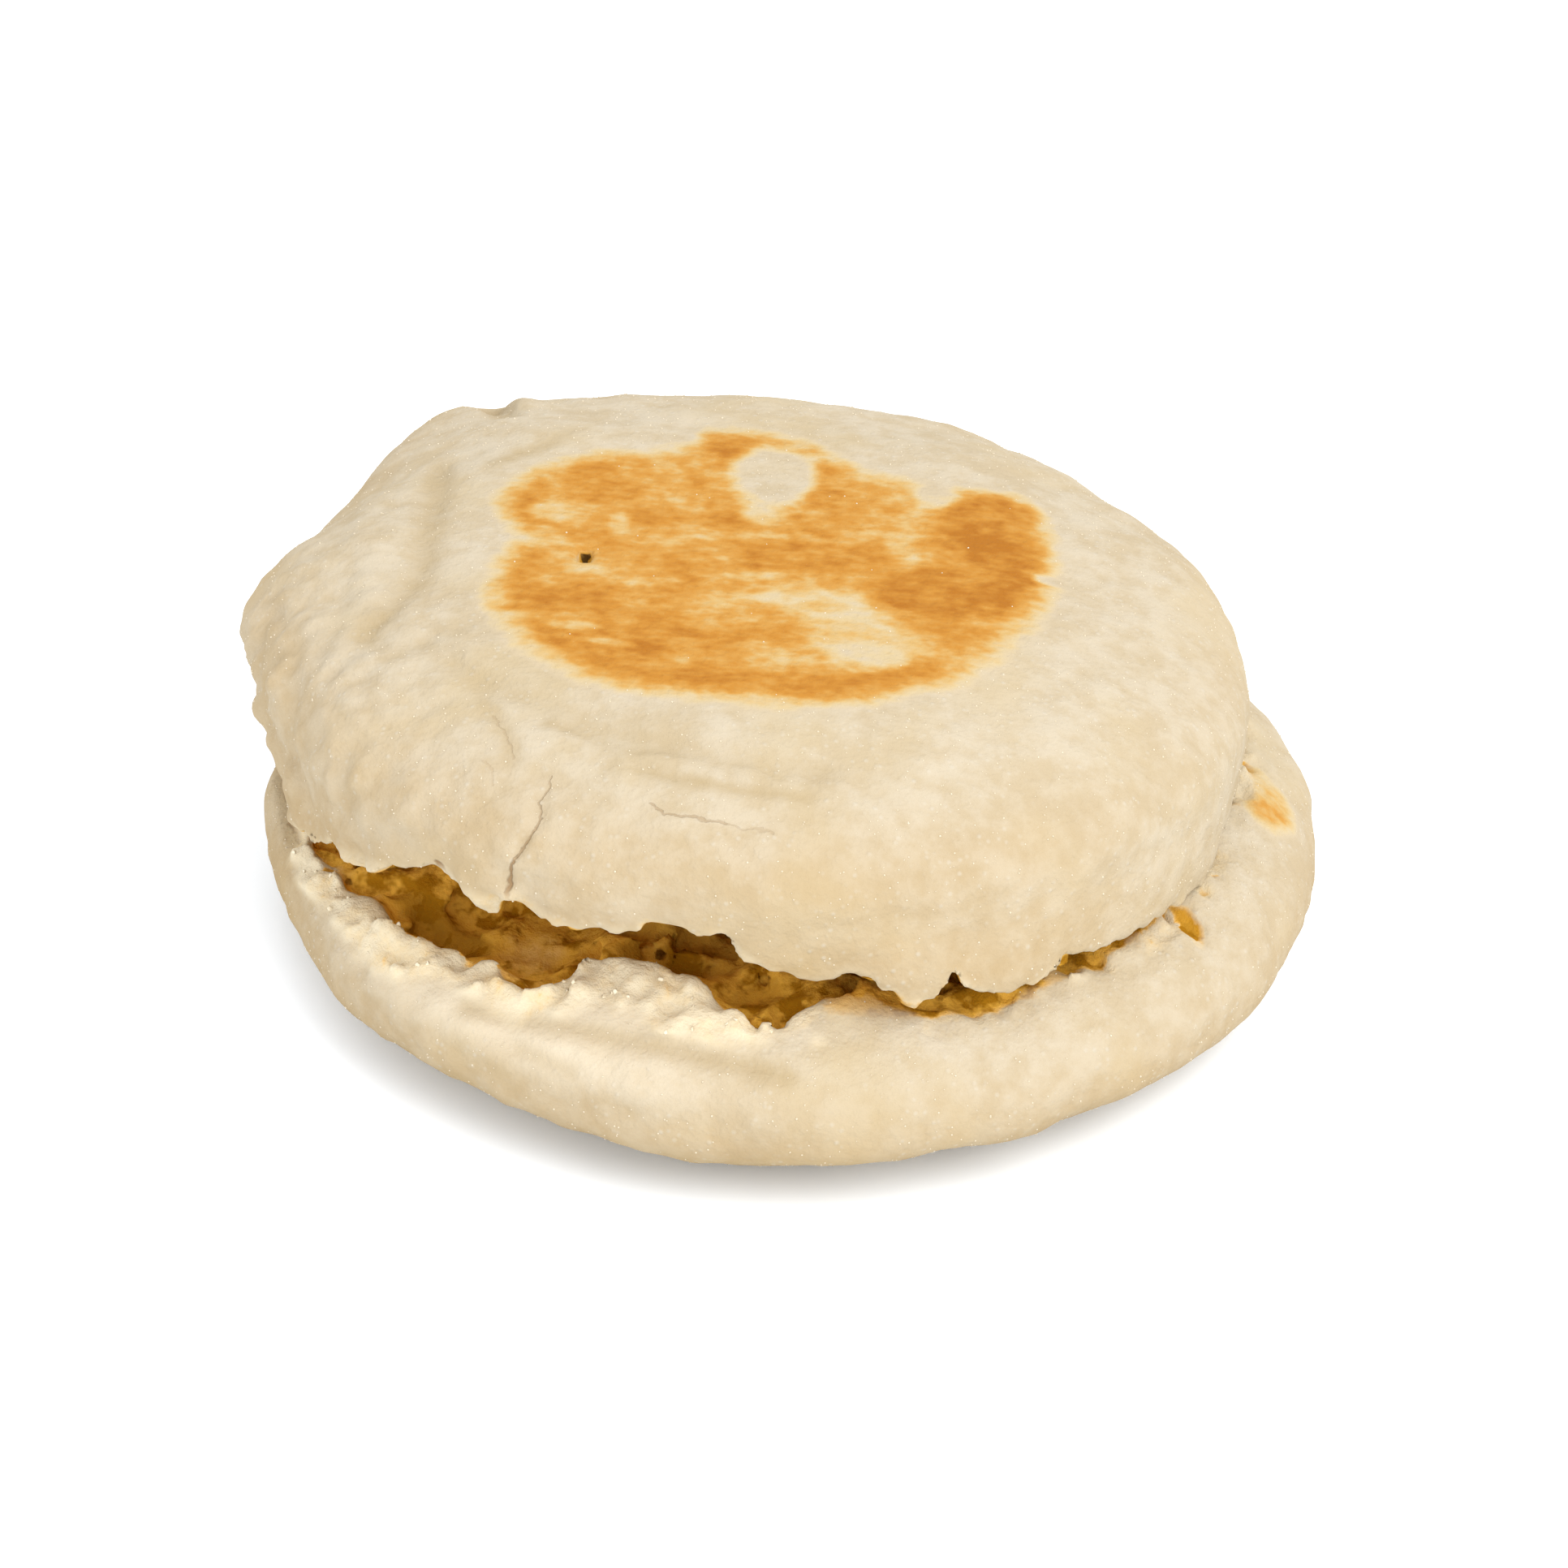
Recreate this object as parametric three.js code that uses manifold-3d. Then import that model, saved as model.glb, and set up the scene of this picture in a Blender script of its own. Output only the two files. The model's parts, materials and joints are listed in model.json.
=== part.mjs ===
// A split english muffin, in millimetres, +Z up: a heel that stands on its flat griddled base and a
// crown that was torn off it and lies back on top, tipped so that the tear gapes at the front left.
//
// Each half is one closed loft of rings. The rings follow a superellipse skin from the griddled flat
// to the ragged rim and then run inwards over the torn crumb. Air holes and a split are cut out of
// the lofts, and the crown is cut clear of the heel, so that the halves never touch.
//
// Azimuth is in degrees from the front (-Y) towards the right (+X).

import * as THREE from 'three';
import { mergeVertices } from 'three/addons/utils/BufferGeometryUtils.js';
import Module from 'manifold-3d';

const wasm = await Module();
wasm.setup();

// ---- driving dimensions ----

const HEEL_CENTRE = [1.15, 0.05];
const HEEL = {
  radius: 46.9,
  waistHeight: 8.0,
  depthBelowWaist: 9.45,
  heightAboveWaist: 13.5,
  roundness: 2.23,
  shoulder: 2.3,
};

const CROWN_OFFSET = [-4.1, 1.6, 14.7];
const CROWN_FRONT_LIFT = 3.8;
const CROWN_LEFT_LIFT = 1.3;
const CROWN = {
  radius: 44.3,
  waistHeight: 9.4,
  depthBelowWaist: 24.0,
  heightAboveWaist: 12.5,
  roundness: 2.4,
  shoulder: 2.2,
  flatHeight: 20.2,
  skirtDrop: 8.0,
};

const AZIMUTH_STEPS = 120;
const SKIN_RINGS = 9;
const CRUMB_RINGS = 8;
const CLEARANCE = 0.4;

// The outlines are round but for a few slow swells and, on the crown, a bulge beside a flattened side.
const HEEL_OUTLINE = [
  { turns: 1, cos: 0.0, sin: 0.12 },
  { turns: 2, cos: -0.33, sin: -0.05 },
  { turns: 3, cos: 0.39, sin: 0.0 },
];
const CROWN_OUTLINE = [
  { turns: 1, cos: -0.95, sin: -0.64 },
  { turns: 2, cos: -0.45, sin: 0.04 },
  { turns: 3, cos: -0.16, sin: 0.0 },
  { turns: 4, cos: -0.22, sin: -0.11 },
];
const HEEL_DENTS = [
  { name: 'narrow front right', at: 44, width: 22, height: -0.6 },
];
const CROWN_DENTS = [
  { name: 'back left bulge', at: -141, width: 20.6, height: 2.5 },
  { name: 'lobe on the bulge', at: -140, width: 7, height: 1.7 },
  { name: 'fold beside the lobe', at: -150, width: 3, height: -0.7 },
  { name: 'flattened left side', at: -118, width: 14, height: -1.7 },
  { name: 'left corner', at: -93, width: 8, height: 0.7 },
  { name: 'back right shoulder', at: 150, width: 14, height: 0.7 },
  { name: 'right lobe', at: 88, width: 12, height: 0.5 },
];

// How deep the crown's side curls under: a full roll at the front left, tucked in behind it.
const CROWN_CURLS = [
  { name: 'full roll', at: -56, width: 11, height: 30 },
  { name: 'tucked in', at: -92, width: 24, height: -12 },
];

// How far the crown's straight skirt leans out or in at its foot.
const SKIRT_LEANS = [
  { name: 'flared front right', at: 28, width: 32, height: 1.3 },
  { name: 'tucked right', at: 88, width: 24, height: -0.4 },
];

// Height of each torn rim: a level, broad swells and single torn teeth and notches.
const HEEL_RIM = {
  level: 14.4,
  swells: [
    { name: 'low left', at: -80, width: 30, height: -0.8 },
    { name: 'low back left', at: -110, width: 40, height: -2.4 },
    { name: 'torn lip, front left', at: -20, width: 14, height: 3.3 },
    { name: 'step in the lip', at: -31, width: 2.8, height: -0.6 },
    { name: 'front', at: -1, width: 5, height: 1.0 },
    { name: 'tooth right of the front', at: 9, width: 6, height: 2.6 },
    { name: 'front right', at: 32, width: 14, height: 1.9 },
    { name: 'right', at: 52, width: 14, height: 1.2 },
    { name: 'shelf', at: 85, width: 30, height: 1.0 },
    { name: 'left of the lip', at: -52, width: 12, height: 0.7 },
  ],
};
const CROWN_RIM = {
  level: 1.5,
  swells: [
    { name: 'raised left', at: -80, width: 28, height: 2.6 },
    { name: 'hanging roll', at: -64, width: 6, height: -1.0 },
    { name: 'raised front left', at: -22, width: 26, height: 5.5 },
    { name: 'raised right of the front', at: 48, width: 12, height: 1.7 },
    { name: 'left edge', at: -47, width: 9, height: 1.3 },
    { name: 'notch left of the split', at: -35.3, width: 2.6, height: 1.8 },
    { name: 'edge before the front notch', at: -9, width: 4, height: 0.7 },
    { name: 'front notch', at: -2, width: 3, height: 3.1 },
    { name: 'tooth before the notch', at: 21, width: 5, height: -1.4 },
    { name: 'front right notch', at: 24.8, width: 2, height: 2.7 },
    { name: 'lowest tooth', at: 32, width: 4, height: -1.2 },
    { name: 'right notch', at: 38, width: 3, height: 1.2 },
  ],
};
const RAGGED_TEETH = [
  { teeth: 17, height: 0.22, phase: 0.4 },
  { teeth: 29, height: 0.18, phase: 2.1 },
  { teeth: 43, height: 0.14, phase: 4.4 },
];

// The torn crumb: how high its middle lies, how it slopes, and where mounds rise on the heel.
const HEEL_CRUMB = { level: 14.9, slopeToFront: 0.045, rimShare: 0.62, roughness: 0.55 };
const CROWN_CRUMB = { level: 0.2, slopeToFront: 0.0, rimShare: 0.5, roughness: 0.6 };
const HEEL_MOUNDS = [
  { x: 17, y: -17, width: 13, height: 1.6 },
  { x: 24, y: 12, width: 12, height: 1.1 },
  { x: -14, y: 22, width: 14, height: 1.0 },
];

// Air holes that open into the tear, as flattened balls: centre, radius and flatness.
const HEEL_HOLES = [
  { x: -27.5, y: -27.5, z: 15.2, radius: 4.2, flatness: 0.65 },
  { x: -20.5, y: -32.0, z: 16.4, radius: 3.6, flatness: 0.7 },
  { x: -10.5, y: -29.0, z: 17.3, radius: 3.0, flatness: 0.7 },
  { x: -2.0, y: -36.5, z: 17.4, radius: 2.9, flatness: 0.8 },
  { x: -35.0, y: -12.0, z: 13.6, radius: 3.4, flatness: 0.6 },
];
const CROWN_HOLES = [
  { x: -22.0, y: -30.0, z: 5.0, radius: 3.6, flatness: 0.7 },
  { x: -6.0, y: -32.0, z: 5.2, radius: 3.2, flatness: 0.8 },
  { x: 9.0, y: -29.0, z: 3.0, radius: 3.0, flatness: 0.7 },
  { x: 28.0, y: -22.0, z: 3.0, radius: 2.8, flatness: 0.7 },
];

// The split that runs up the crown's side from its torn rim, as a thin wedge.
const SPLIT = { azimuth: -26.5, lean: 6, width: 0.9, height: 9.5, depth: 2.6 };

// ---- small mathematics ----

const radians = THREE.MathUtils.degToRad;

function turnBetween(from, to) {
  return THREE.MathUtils.euclideanModulo(to - from + 180, 360) - 180;
}

function hump(azimuth, { at, width, height }) {
  const away = turnBetween(at, azimuth) / width;
  return height * Math.exp(-away * away);
}

function sumOf(items, value) {
  return items.reduce((sum, item) => sum + value(item), 0);
}

function outlineRadius(mean, outline, dents, azimuth) {
  const a = radians(azimuth);
  return mean
    + sumOf(outline, ({ turns, cos, sin }) => cos * Math.cos(turns * a) + sin * Math.sin(turns * a))
    + sumOf(dents, (dent) => hump(azimuth, dent));
}

function polar(radius, azimuth, z) {
  const a = radians(azimuth);
  return new THREE.Vector3(radius * Math.sin(a), -radius * Math.cos(a), z);
}

// ---- skin of each half ----

// Share of the outline's radius that a superellipse skin has at height z.
function skinShare(size, z, depthBelowWaist) {
  const reach = z < size.waistHeight ? depthBelowWaist : size.heightAboveWaist;
  const away = Math.min(Math.abs(z - size.waistHeight) / reach, 1);
  return (1 - away ** size.shoulder) ** (1 / size.roundness);
}

function heelRadius(azimuth, z) {
  return outlineRadius(HEEL.radius, HEEL_OUTLINE, HEEL_DENTS, azimuth)
    * skinShare(HEEL, z, HEEL.depthBelowWaist);
}

// 1 where the crown's side hangs straight like a skirt, over the front right, 0 where it curls under.
function skirtAmount(azimuth) {
  const turn = turnBetween(0, azimuth);
  return THREE.MathUtils.smoothstep(turn, -5, 30) * (1 - THREE.MathUtils.smoothstep(turn, 75, 115));
}

function crownRadius(azimuth, z) {
  const outline = outlineRadius(CROWN.radius, CROWN_OUTLINE, CROWN_DENTS, azimuth);
  const curlDepth = CROWN.depthBelowWaist + sumOf(CROWN_CURLS, (curl) => hump(azimuth, curl));
  const curled = outline * skinShare(CROWN, z, curlDepth);
  if (z >= CROWN.waistHeight) {
    return curled;
  }
  const drop = CROWN.waistHeight - z;
  const lean = sumOf(SKIRT_LEANS, (item) => hump(azimuth, item));
  const skirt = outline + lean * THREE.MathUtils.smoothstep(drop, 0, CROWN.skirtDrop);
  return THREE.MathUtils.lerp(curled, skirt, skirtAmount(azimuth));
}

// ---- torn surfaces ----

function rimHeight(rim, azimuth) {
  const a = radians(azimuth);
  return rim.level
    + sumOf(rim.swells, (swell) => hump(azimuth, swell))
    + sumOf(RAGGED_TEETH, ({ teeth, height, phase }) => height * Math.sin(teeth * a + phase));
}

// Uneven crumb, from three crossed ripples.
function crumbRelief(x, y) {
  return (Math.sin(0.42 * x + 0.9) * Math.sin(0.37 * y + 0.3)
    + 0.7 * Math.sin(0.71 * x - 0.5 * y + 2.0)
    + 0.5 * Math.sin(0.93 * y + 0.6 * x + 4.1)) / 1.6;
}

// Height of torn crumb at a share of the way out to the rim, 0 at the centre and 1 at the rim.
function crumbHeight(crumb, mounds, share, point, rim) {
  const middle = crumb.level
    - crumb.slopeToFront * point.y
    + crumb.roughness * crumbRelief(point.x, point.y)
    + sumOf(mounds, ({ x, y, width, height }) => {
      const away = Math.hypot(point.x - x, point.y - y) / width;
      return height * Math.exp(-away * away);
    });
  return THREE.MathUtils.lerp(middle, rim, THREE.MathUtils.smoothstep(share, crumb.rimShare, 1));
}

// ---- lofts ----

// Closed body from rings of equal length between two pole points.
function loft(firstPole, rings, lastPole) {
  const points = [firstPole, ...rings.flat(), lastPole];
  const last = points.length - 1;
  const ringStart = (ring) => 1 + ring * AZIMUTH_STEPS;
  const faces = [];
  for (let i = 0; i < AZIMUTH_STEPS; i += 1) {
    const next = (i + 1) % AZIMUTH_STEPS;
    faces.push(0, ringStart(0) + next, ringStart(0) + i);
    for (let ring = 0; ring < rings.length - 1; ring += 1) {
      const low = ringStart(ring);
      const high = ringStart(ring + 1);
      faces.push(low + i, low + next, high + next);
      faces.push(low + i, high + next, high + i);
    }
    faces.push(last, ringStart(rings.length - 1) + i, ringStart(rings.length - 1) + next);
  }
  const geometry = new THREE.BufferGeometry();
  geometry.setAttribute('position', new THREE.Float32BufferAttribute(points.flatMap((p) => p.toArray()), 3));
  geometry.setIndex(faces);
  return geometry;
}

function ringOf(pointAt) {
  return Array.from({ length: AZIMUTH_STEPS }, (_, i) => pointAt((i * 360) / AZIMUTH_STEPS));
}

// Skin rings from the griddled flat to the rim, closer together where the skin curves most.
function skinRings(flatHeight, rim, radiusAt) {
  return Array.from({ length: SKIN_RINGS }, (_, ring) => {
    const share = ring / (SKIN_RINGS - 1);
    const eased = share ** 1.6;
    return ringOf((azimuth) => {
      const z = THREE.MathUtils.lerp(flatHeight, rimHeight(rim, azimuth), eased);
      return polar(radiusAt(azimuth, z), azimuth, z);
    });
  });
}

// Torn crumb rings from just inside the rim towards the centre.
function crumbRings(crumb, mounds, rim, radiusAt) {
  return Array.from({ length: CRUMB_RINGS }, (_, ring) => {
    const share = 1 - (ring + 1) / (CRUMB_RINGS + 1);
    return ringOf((azimuth) => {
      const rimZ = rimHeight(rim, azimuth);
      const point = polar(radiusAt(azimuth, rimZ) * share, azimuth, 0);
      point.z = crumbHeight(crumb, mounds, share, point, rimZ);
      return point;
    });
  });
}

function heelGeometry(raise) {
  const skin = skinRings(0, HEEL_RIM, heelRadius);
  const crumb = crumbRings(HEEL_CRUMB, HEEL_MOUNDS, HEEL_RIM, heelRadius);
  const centre = new THREE.Vector3(0, 0, 0);
  centre.z = crumbHeight(HEEL_CRUMB, HEEL_MOUNDS, 0, centre, 0);
  if (raise) {
    [skin.at(-1), ...crumb, [centre]].flat().forEach((point) => {
      point.z += raise;
    });
  }
  return loft(new THREE.Vector3(0, 0, 0), skin, centre);
}

function crownGeometry() {
  const skin = skinRings(CROWN.flatHeight, CROWN_RIM, crownRadius);
  const crumb = crumbRings(CROWN_CRUMB, [], CROWN_RIM, crownRadius);
  const centre = new THREE.Vector3(0, 0, 0);
  centre.z = crumbHeight(CROWN_CRUMB, [], 0, centre, 0);
  const upsideDown = loft(new THREE.Vector3(0, 0, CROWN.flatHeight), skin, centre);
  return turnedInsideOut(upsideDown);
}

function turnedInsideOut(geometry) {
  const index = geometry.getIndex();
  for (let i = 0; i < index.count; i += 3) {
    const second = index.getX(i + 1);
    index.setX(i + 1, index.getX(i + 2));
    index.setX(i + 2, second);
  }
  return geometry;
}

// ---- solids: cutting and back to meshes ----

function solidOf(geometry) {
  const bare = geometry.clone();
  bare.deleteAttribute('normal');
  bare.deleteAttribute('uv');
  const merged = mergeVertices(bare, 1e-4);
  return new wasm.Manifold(new wasm.Mesh({
    numProp: 3,
    vertProperties: new Float32Array(merged.getAttribute('position').array),
    triVerts: new Uint32Array(merged.getIndex().array),
  }));
}

function geometryOf(solid) {
  const { vertProperties, triVerts } = solid.getMesh();
  const geometry = new THREE.BufferGeometry();
  geometry.setAttribute('position', new THREE.BufferAttribute(vertProperties, 3));
  geometry.setIndex(new THREE.BufferAttribute(triVerts, 1));
  geometry.computeVertexNormals();
  return geometry;
}

function holeSolid({ x, y, z, radius, flatness }) {
  const ball = new THREE.IcosahedronGeometry(radius, 1);
  ball.scale(1.25, 1, flatness);
  ball.translate(x, y, z);
  return solidOf(ball);
}

function splitSolid() {
  const rimZ = rimHeight(CROWN_RIM, SPLIT.azimuth);
  const wedge = new THREE.ConeGeometry(SPLIT.width, SPLIT.height, 4);
  wedge.rotateX(Math.PI / 2);
  wedge.scale(1, SPLIT.depth / SPLIT.width, 1);
  wedge.rotateY(radians(SPLIT.lean));
  wedge.rotateZ(radians(SPLIT.azimuth));
  const foot = polar(crownRadius(SPLIT.azimuth, rimZ), SPLIT.azimuth, rimZ);
  wedge.translate(foot.x, foot.y, foot.z + SPLIT.height / 2 - 1);
  return solidOf(wedge);
}

function cutBy(solid, cutters) {
  return cutters.reduce((rest, cutter) => rest.subtract(cutter), solid);
}

function breadMesh(name, solid, colour) {
  const material = new THREE.MeshStandardMaterial({ color: colour, roughness: 0.85, metalness: 0 });
  const mesh = new THREE.Mesh(geometryOf(solid), material);
  mesh.name = name;
  return mesh;
}

// ---- the muffin ----

const crown = new THREE.Group();
crown.position.set(...CROWN_OFFSET);
crown.rotation.set(-radians(CROWN_FRONT_LIFT), radians(CROWN_LEFT_LIFT), 0);
crown.updateMatrix();

const heelSpace = heelGeometry(CLEARANCE);
heelSpace.applyMatrix4(crown.matrix.clone().invert());

const crownCutters = [solidOf(heelSpace), splitSolid(), ...CROWN_HOLES.map(holeSolid)];
const crownSolid = cutBy(solidOf(crownGeometry()), crownCutters);
const heelSolid = cutBy(solidOf(heelGeometry(0)), HEEL_HOLES.map(holeSolid));

crown.add(breadMesh('top_half', crownSolid, 0xe8d3b0));

const muffin = new THREE.Group();
muffin.position.set(...HEEL_CENTRE, 0);
muffin.add(breadMesh('bottom_half', heelSolid, 0xe6cfa8));
muffin.add(crown);

export default muffin;
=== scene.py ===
"""Finish of a split english muffin: griddled crust, torn crumb, semolina grains and loose crumbs.

Both halves are modelled as fields on a fine lattice: a superellipse skin, a ragged tear and the air
holes that open into it. Each field becomes one closed mesh that stands for its frame node. Lengths
in this script are millimetres in each half's own axes until a mesh is placed, which makes them metres.
"""

import json
import logging
import math
from dataclasses import dataclass, field
from enum import Enum
from typing import Callable, Optional

import bpy
import numpy as np
from mathutils import Matrix, Vector

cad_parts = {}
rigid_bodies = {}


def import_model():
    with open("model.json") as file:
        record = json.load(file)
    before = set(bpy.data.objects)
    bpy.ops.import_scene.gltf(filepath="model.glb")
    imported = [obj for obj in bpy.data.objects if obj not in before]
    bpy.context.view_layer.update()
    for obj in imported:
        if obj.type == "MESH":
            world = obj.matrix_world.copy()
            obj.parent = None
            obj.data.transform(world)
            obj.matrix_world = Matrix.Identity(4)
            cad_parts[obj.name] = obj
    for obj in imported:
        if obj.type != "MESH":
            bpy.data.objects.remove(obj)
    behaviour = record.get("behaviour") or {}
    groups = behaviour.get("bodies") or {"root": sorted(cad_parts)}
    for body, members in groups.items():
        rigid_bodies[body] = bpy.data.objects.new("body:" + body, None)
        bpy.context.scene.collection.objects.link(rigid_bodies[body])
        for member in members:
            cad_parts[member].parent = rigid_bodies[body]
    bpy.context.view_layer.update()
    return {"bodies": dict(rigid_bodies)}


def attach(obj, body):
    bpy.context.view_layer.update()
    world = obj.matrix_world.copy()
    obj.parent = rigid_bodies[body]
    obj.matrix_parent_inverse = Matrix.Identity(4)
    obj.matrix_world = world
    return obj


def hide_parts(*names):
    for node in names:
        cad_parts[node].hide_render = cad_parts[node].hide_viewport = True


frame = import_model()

BODY = next(iter(frame["bodies"]))
METRES = 0.001
MILLIMETRES = 1000.0
LIGHT = 2.2  # how many times the studio brightens a surface colour
LEAST_SLOPE = 1e-5  # keeps the distance to a skin finite in its middle
FAR_AWAY = 1e9
BOX_CORNERS = 8

log = logging.getLogger("muffin")

Array = np.ndarray
Point = tuple[float, float, float]
Colour = tuple[float, float, float]
Span = tuple[float, float]


# ---- Small mathematics ----

def smooth_step(value: Array, low: float, high: float) -> Array:
    """Rise smoothly from 0 at `low` to 1 at `high`.

    Args:
        value: Numbers of any shape.
        low: Where the rise starts.
        high: Where the rise ends.

    Returns:
        Shares from 0 to 1, in the same shape.
    """
    share = np.clip((value - low) / (high - low), 0.0, 1.0)
    return share * share * (3.0 - 2.0 * share)


def soft_max(first: Array, second: Array, width: float) -> Array:
    """Return the larger of two fields, rounded over `width` where they meet."""
    return 0.5 * (first + second + np.sqrt((first - second) ** 2 + width * width))


def azimuth_of(x: Array, y: Array) -> Array:
    """Return the azimuth in degrees, 0 at the front (-Y) and 90 at the right (+X)."""
    return np.degrees(np.arctan2(x, -y))


def seen(red: int, green: int, blue: int, light: float = LIGHT) -> Colour:
    """Return the surface colour that looks like three 0 to 255 display values in a given light.

    Args:
        red, green, blue: Display values from 0 to 255.
        light: How bright the light is.

    Returns:
        The linear colour that a material takes.
    """
    def linear(value: int) -> float:
        share = value / 255.0
        return (share / 12.92 if share <= 0.04045 else ((share + 0.055) / 1.055) ** 2.4) / light
    return (linear(red), linear(green), linear(blue))


# ---- Outlines, skins and tears ----

@dataclass(frozen=True)
class Swell:
    """A smooth local rise or dip round the outline, in degrees and millimetres."""

    at: float
    width: float
    height: float

    def value(self, azimuth: Array) -> Array:
        """Return the rise at each azimuth."""
        away = (azimuth - self.at + 180.0) % 360.0 - 180.0
        return self.height * np.exp(-((away / self.width) ** 2))


def total(swells: tuple[Swell, ...], azimuth: Array) -> Array:
    """Return the sum of several swells at each azimuth.

    Args:
        swells: The swells.
        azimuth: Azimuths in degrees.

    Returns:
        Their sum in millimetres.
    """
    rise = np.zeros_like(azimuth)
    for swell in swells:
        rise = rise + swell.value(azimuth)
    return rise


@dataclass(frozen=True)
class Wave:
    """One slow wave of the outline: how many turns, and its cosine and sine parts."""

    turns: int
    cos: float
    sin: float


@dataclass(frozen=True)
class Outline:
    """Plan of one half: a mean radius, slow waves and local dents."""

    mean: float
    waves: tuple[Wave, ...]
    dents: tuple[Swell, ...]

    def radius(self, azimuth: Array) -> Array:
        """Return the radius at each azimuth.

        Args:
            azimuth: Azimuths in degrees.

        Returns:
            Radii in millimetres.
        """
        turn = np.radians(azimuth)
        radius = self.mean + total(self.dents, azimuth)
        for wave in self.waves:
            radius = radius + wave.cos * np.cos(wave.turns * turn) + wave.sin * np.sin(wave.turns * turn)
        return radius


@dataclass(frozen=True)
class Skin:
    """Superellipse section of one half, with an optional straight skirt below its waist."""

    waist: float
    below: float
    above: float
    roundness: float
    shoulder: float
    curls: tuple[Swell, ...] = ()
    leans: tuple[Swell, ...] = ()
    skirt_drop: float = 0.0
    skirt_from: Span = (0.0, 0.0)
    skirt_to: Span = (0.0, 0.0)

    def reach(self, azimuth: Array, z: Array) -> Array:
        """Return how far the skin reaches above or below the waist, on the side where z lies."""
        return np.where(z < self.waist, self.below + total(self.curls, azimuth), self.above)

    def skirted(self, azimuth: Array, z: Array, curled: Array, skirt: Array) -> Array:
        """Return the curled value, or the straight skirt's where the skin hangs straight.

        Args:
            azimuth: Azimuth in degrees.
            z: Height in the half's axes.
            curled: Value of the curled skin.
            skirt: Value of an upright skin, less its lean.

        Returns:
            The blended value.
        """
        if not self.leans:
            return curled
        amount = smooth_step(azimuth, *self.skirt_from) * (1.0 - smooth_step(azimuth, *self.skirt_to))
        return np.where(z < self.waist, curled + amount * (skirt - curled), curled)

    def lean(self, azimuth: Array, z: Array) -> Array:
        """Return how far the skirt stands out below the waist."""
        return total(self.leans, azimuth) * smooth_step(self.waist - z, 0.0, max(self.skirt_drop, 1.0))

    def radius(self, azimuth: Array, z: Array, outline: Array) -> Array:
        """Return the skin's radius at a height.

        Args:
            azimuth: Azimuths in degrees.
            z: Heights in the half's axes.
            outline: The outline's radius at each azimuth.

        Returns:
            Radii in millimetres.
        """
        away = np.clip(np.abs(z - self.waist) / self.reach(azimuth, z), 0.0, 1.0)
        curled = outline * (1.0 - away ** self.shoulder) ** (1.0 / self.roundness)
        return self.skirted(azimuth, z, curled, outline + self.lean(azimuth, z))

    def distance(self, radius: Array, azimuth: Array, z: Array, outline: Array) -> Array:
        """Return the signed distance to the skin, negative inside.

        Args:
            radius: Distance from the half's axis.
            azimuth: Azimuth in degrees.
            z: Height in the half's axes.
            outline: The outline's radius at each azimuth.

        Returns:
            Millimetres from the skin, true close to it and roughly right elsewhere.
        """
        reach = self.reach(azimuth, z)
        out = radius / outline
        away = np.abs(z - self.waist) / reach
        level = out ** self.roundness + away ** self.shoulder - 1.0
        slope_out = self.roundness * out ** (self.roundness - 1.0) / outline
        slope_up = self.shoulder * away ** (self.shoulder - 1.0) / reach
        curled = level / np.sqrt(slope_out ** 2 + slope_up ** 2 + LEAST_SLOPE)
        return self.skirted(azimuth, z, curled, radius - outline - self.lean(azimuth, z))


@dataclass(frozen=True)
class TornRim:
    """A torn rim as pairs of azimuth and height, in order round the half."""

    points: tuple[Span, ...]

    def height(self, azimuth: Array) -> Array:
        """Return the rim's height at each azimuth."""
        return np.interp(azimuth, *zip(*self.points), period=360.0)


@dataclass(frozen=True)
class Mound:
    """A soft heap of crumb on the torn face."""

    x: float
    y: float
    width: float
    height: float


@dataclass(frozen=True)
class CrumbFace:
    """Middle of a torn face: its level, slope towards the front and share where the rim starts."""

    level: float
    slope: float
    rim_share: float
    mounds: tuple[Mound, ...] = ()

    def height(self, x: Array, y: Array, share: Array, rim: Array) -> Array:
        """Return the torn face's height over the plan.

        Args:
            x: Places to the right.
            y: Places to the back.
            share: Share of the way out to the rim.
            rim: The rim's height at each place's azimuth.

        Returns:
            Heights in the half's axes.
        """
        middle = self.level - self.slope * y
        for mound in self.mounds:
            away = ((x - mound.x) ** 2 + (y - mound.y) ** 2) / mound.width ** 2
            middle = middle + mound.height * np.exp(-away)
        blend = smooth_step(share, self.rim_share, 1.0)
        return middle + blend * (rim - middle)


@dataclass(frozen=True)
class Hole:
    """An air hole: a ball that may be flattened, and how much painted shade darkens its wall; a negative
    value takes painted shade away.
    """

    centre: Point
    radius: float
    flatness: float = 1.0
    # painted shade on the hole's wall; a negative value takes painted shade away
    stain: float = 0.8


@dataclass(frozen=True)
class Groove:
    """A crease or fold along a few points on the skin, with painted shade along it. A negative depth makes a
    ridge.
    """

    points: tuple[Point, ...]
    width: float
    depth: float
    # painted shade darkening the crease
    shade: float = 0.0


@dataclass(frozen=True)
class Layer:
    """One layer of noise: its number in the half's seeds, the size of a lump and its height."""

    number: int
    cell: float
    height: float


@dataclass(frozen=True)
class Bubbles:
    """A scatter of small air holes over a torn face: its number in the half's seeds and its sizes."""

    number: int = 21
    count: int = 1300
    insets: Span = (0.3, 24.0)
    typical_log: float = -0.35
    spread_log: float = 0.5
    sizes: Span = (0.4, 2.2)
    flatness: Span = (0.6, 1.0)
    lift: Span = (-0.9, 0.5)
    open_front: Span = (-75.0, 6.0)
    front_margin: float = 0.8
    back_margin: float = 3.5
    size_margin: float = 0.6


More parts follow.
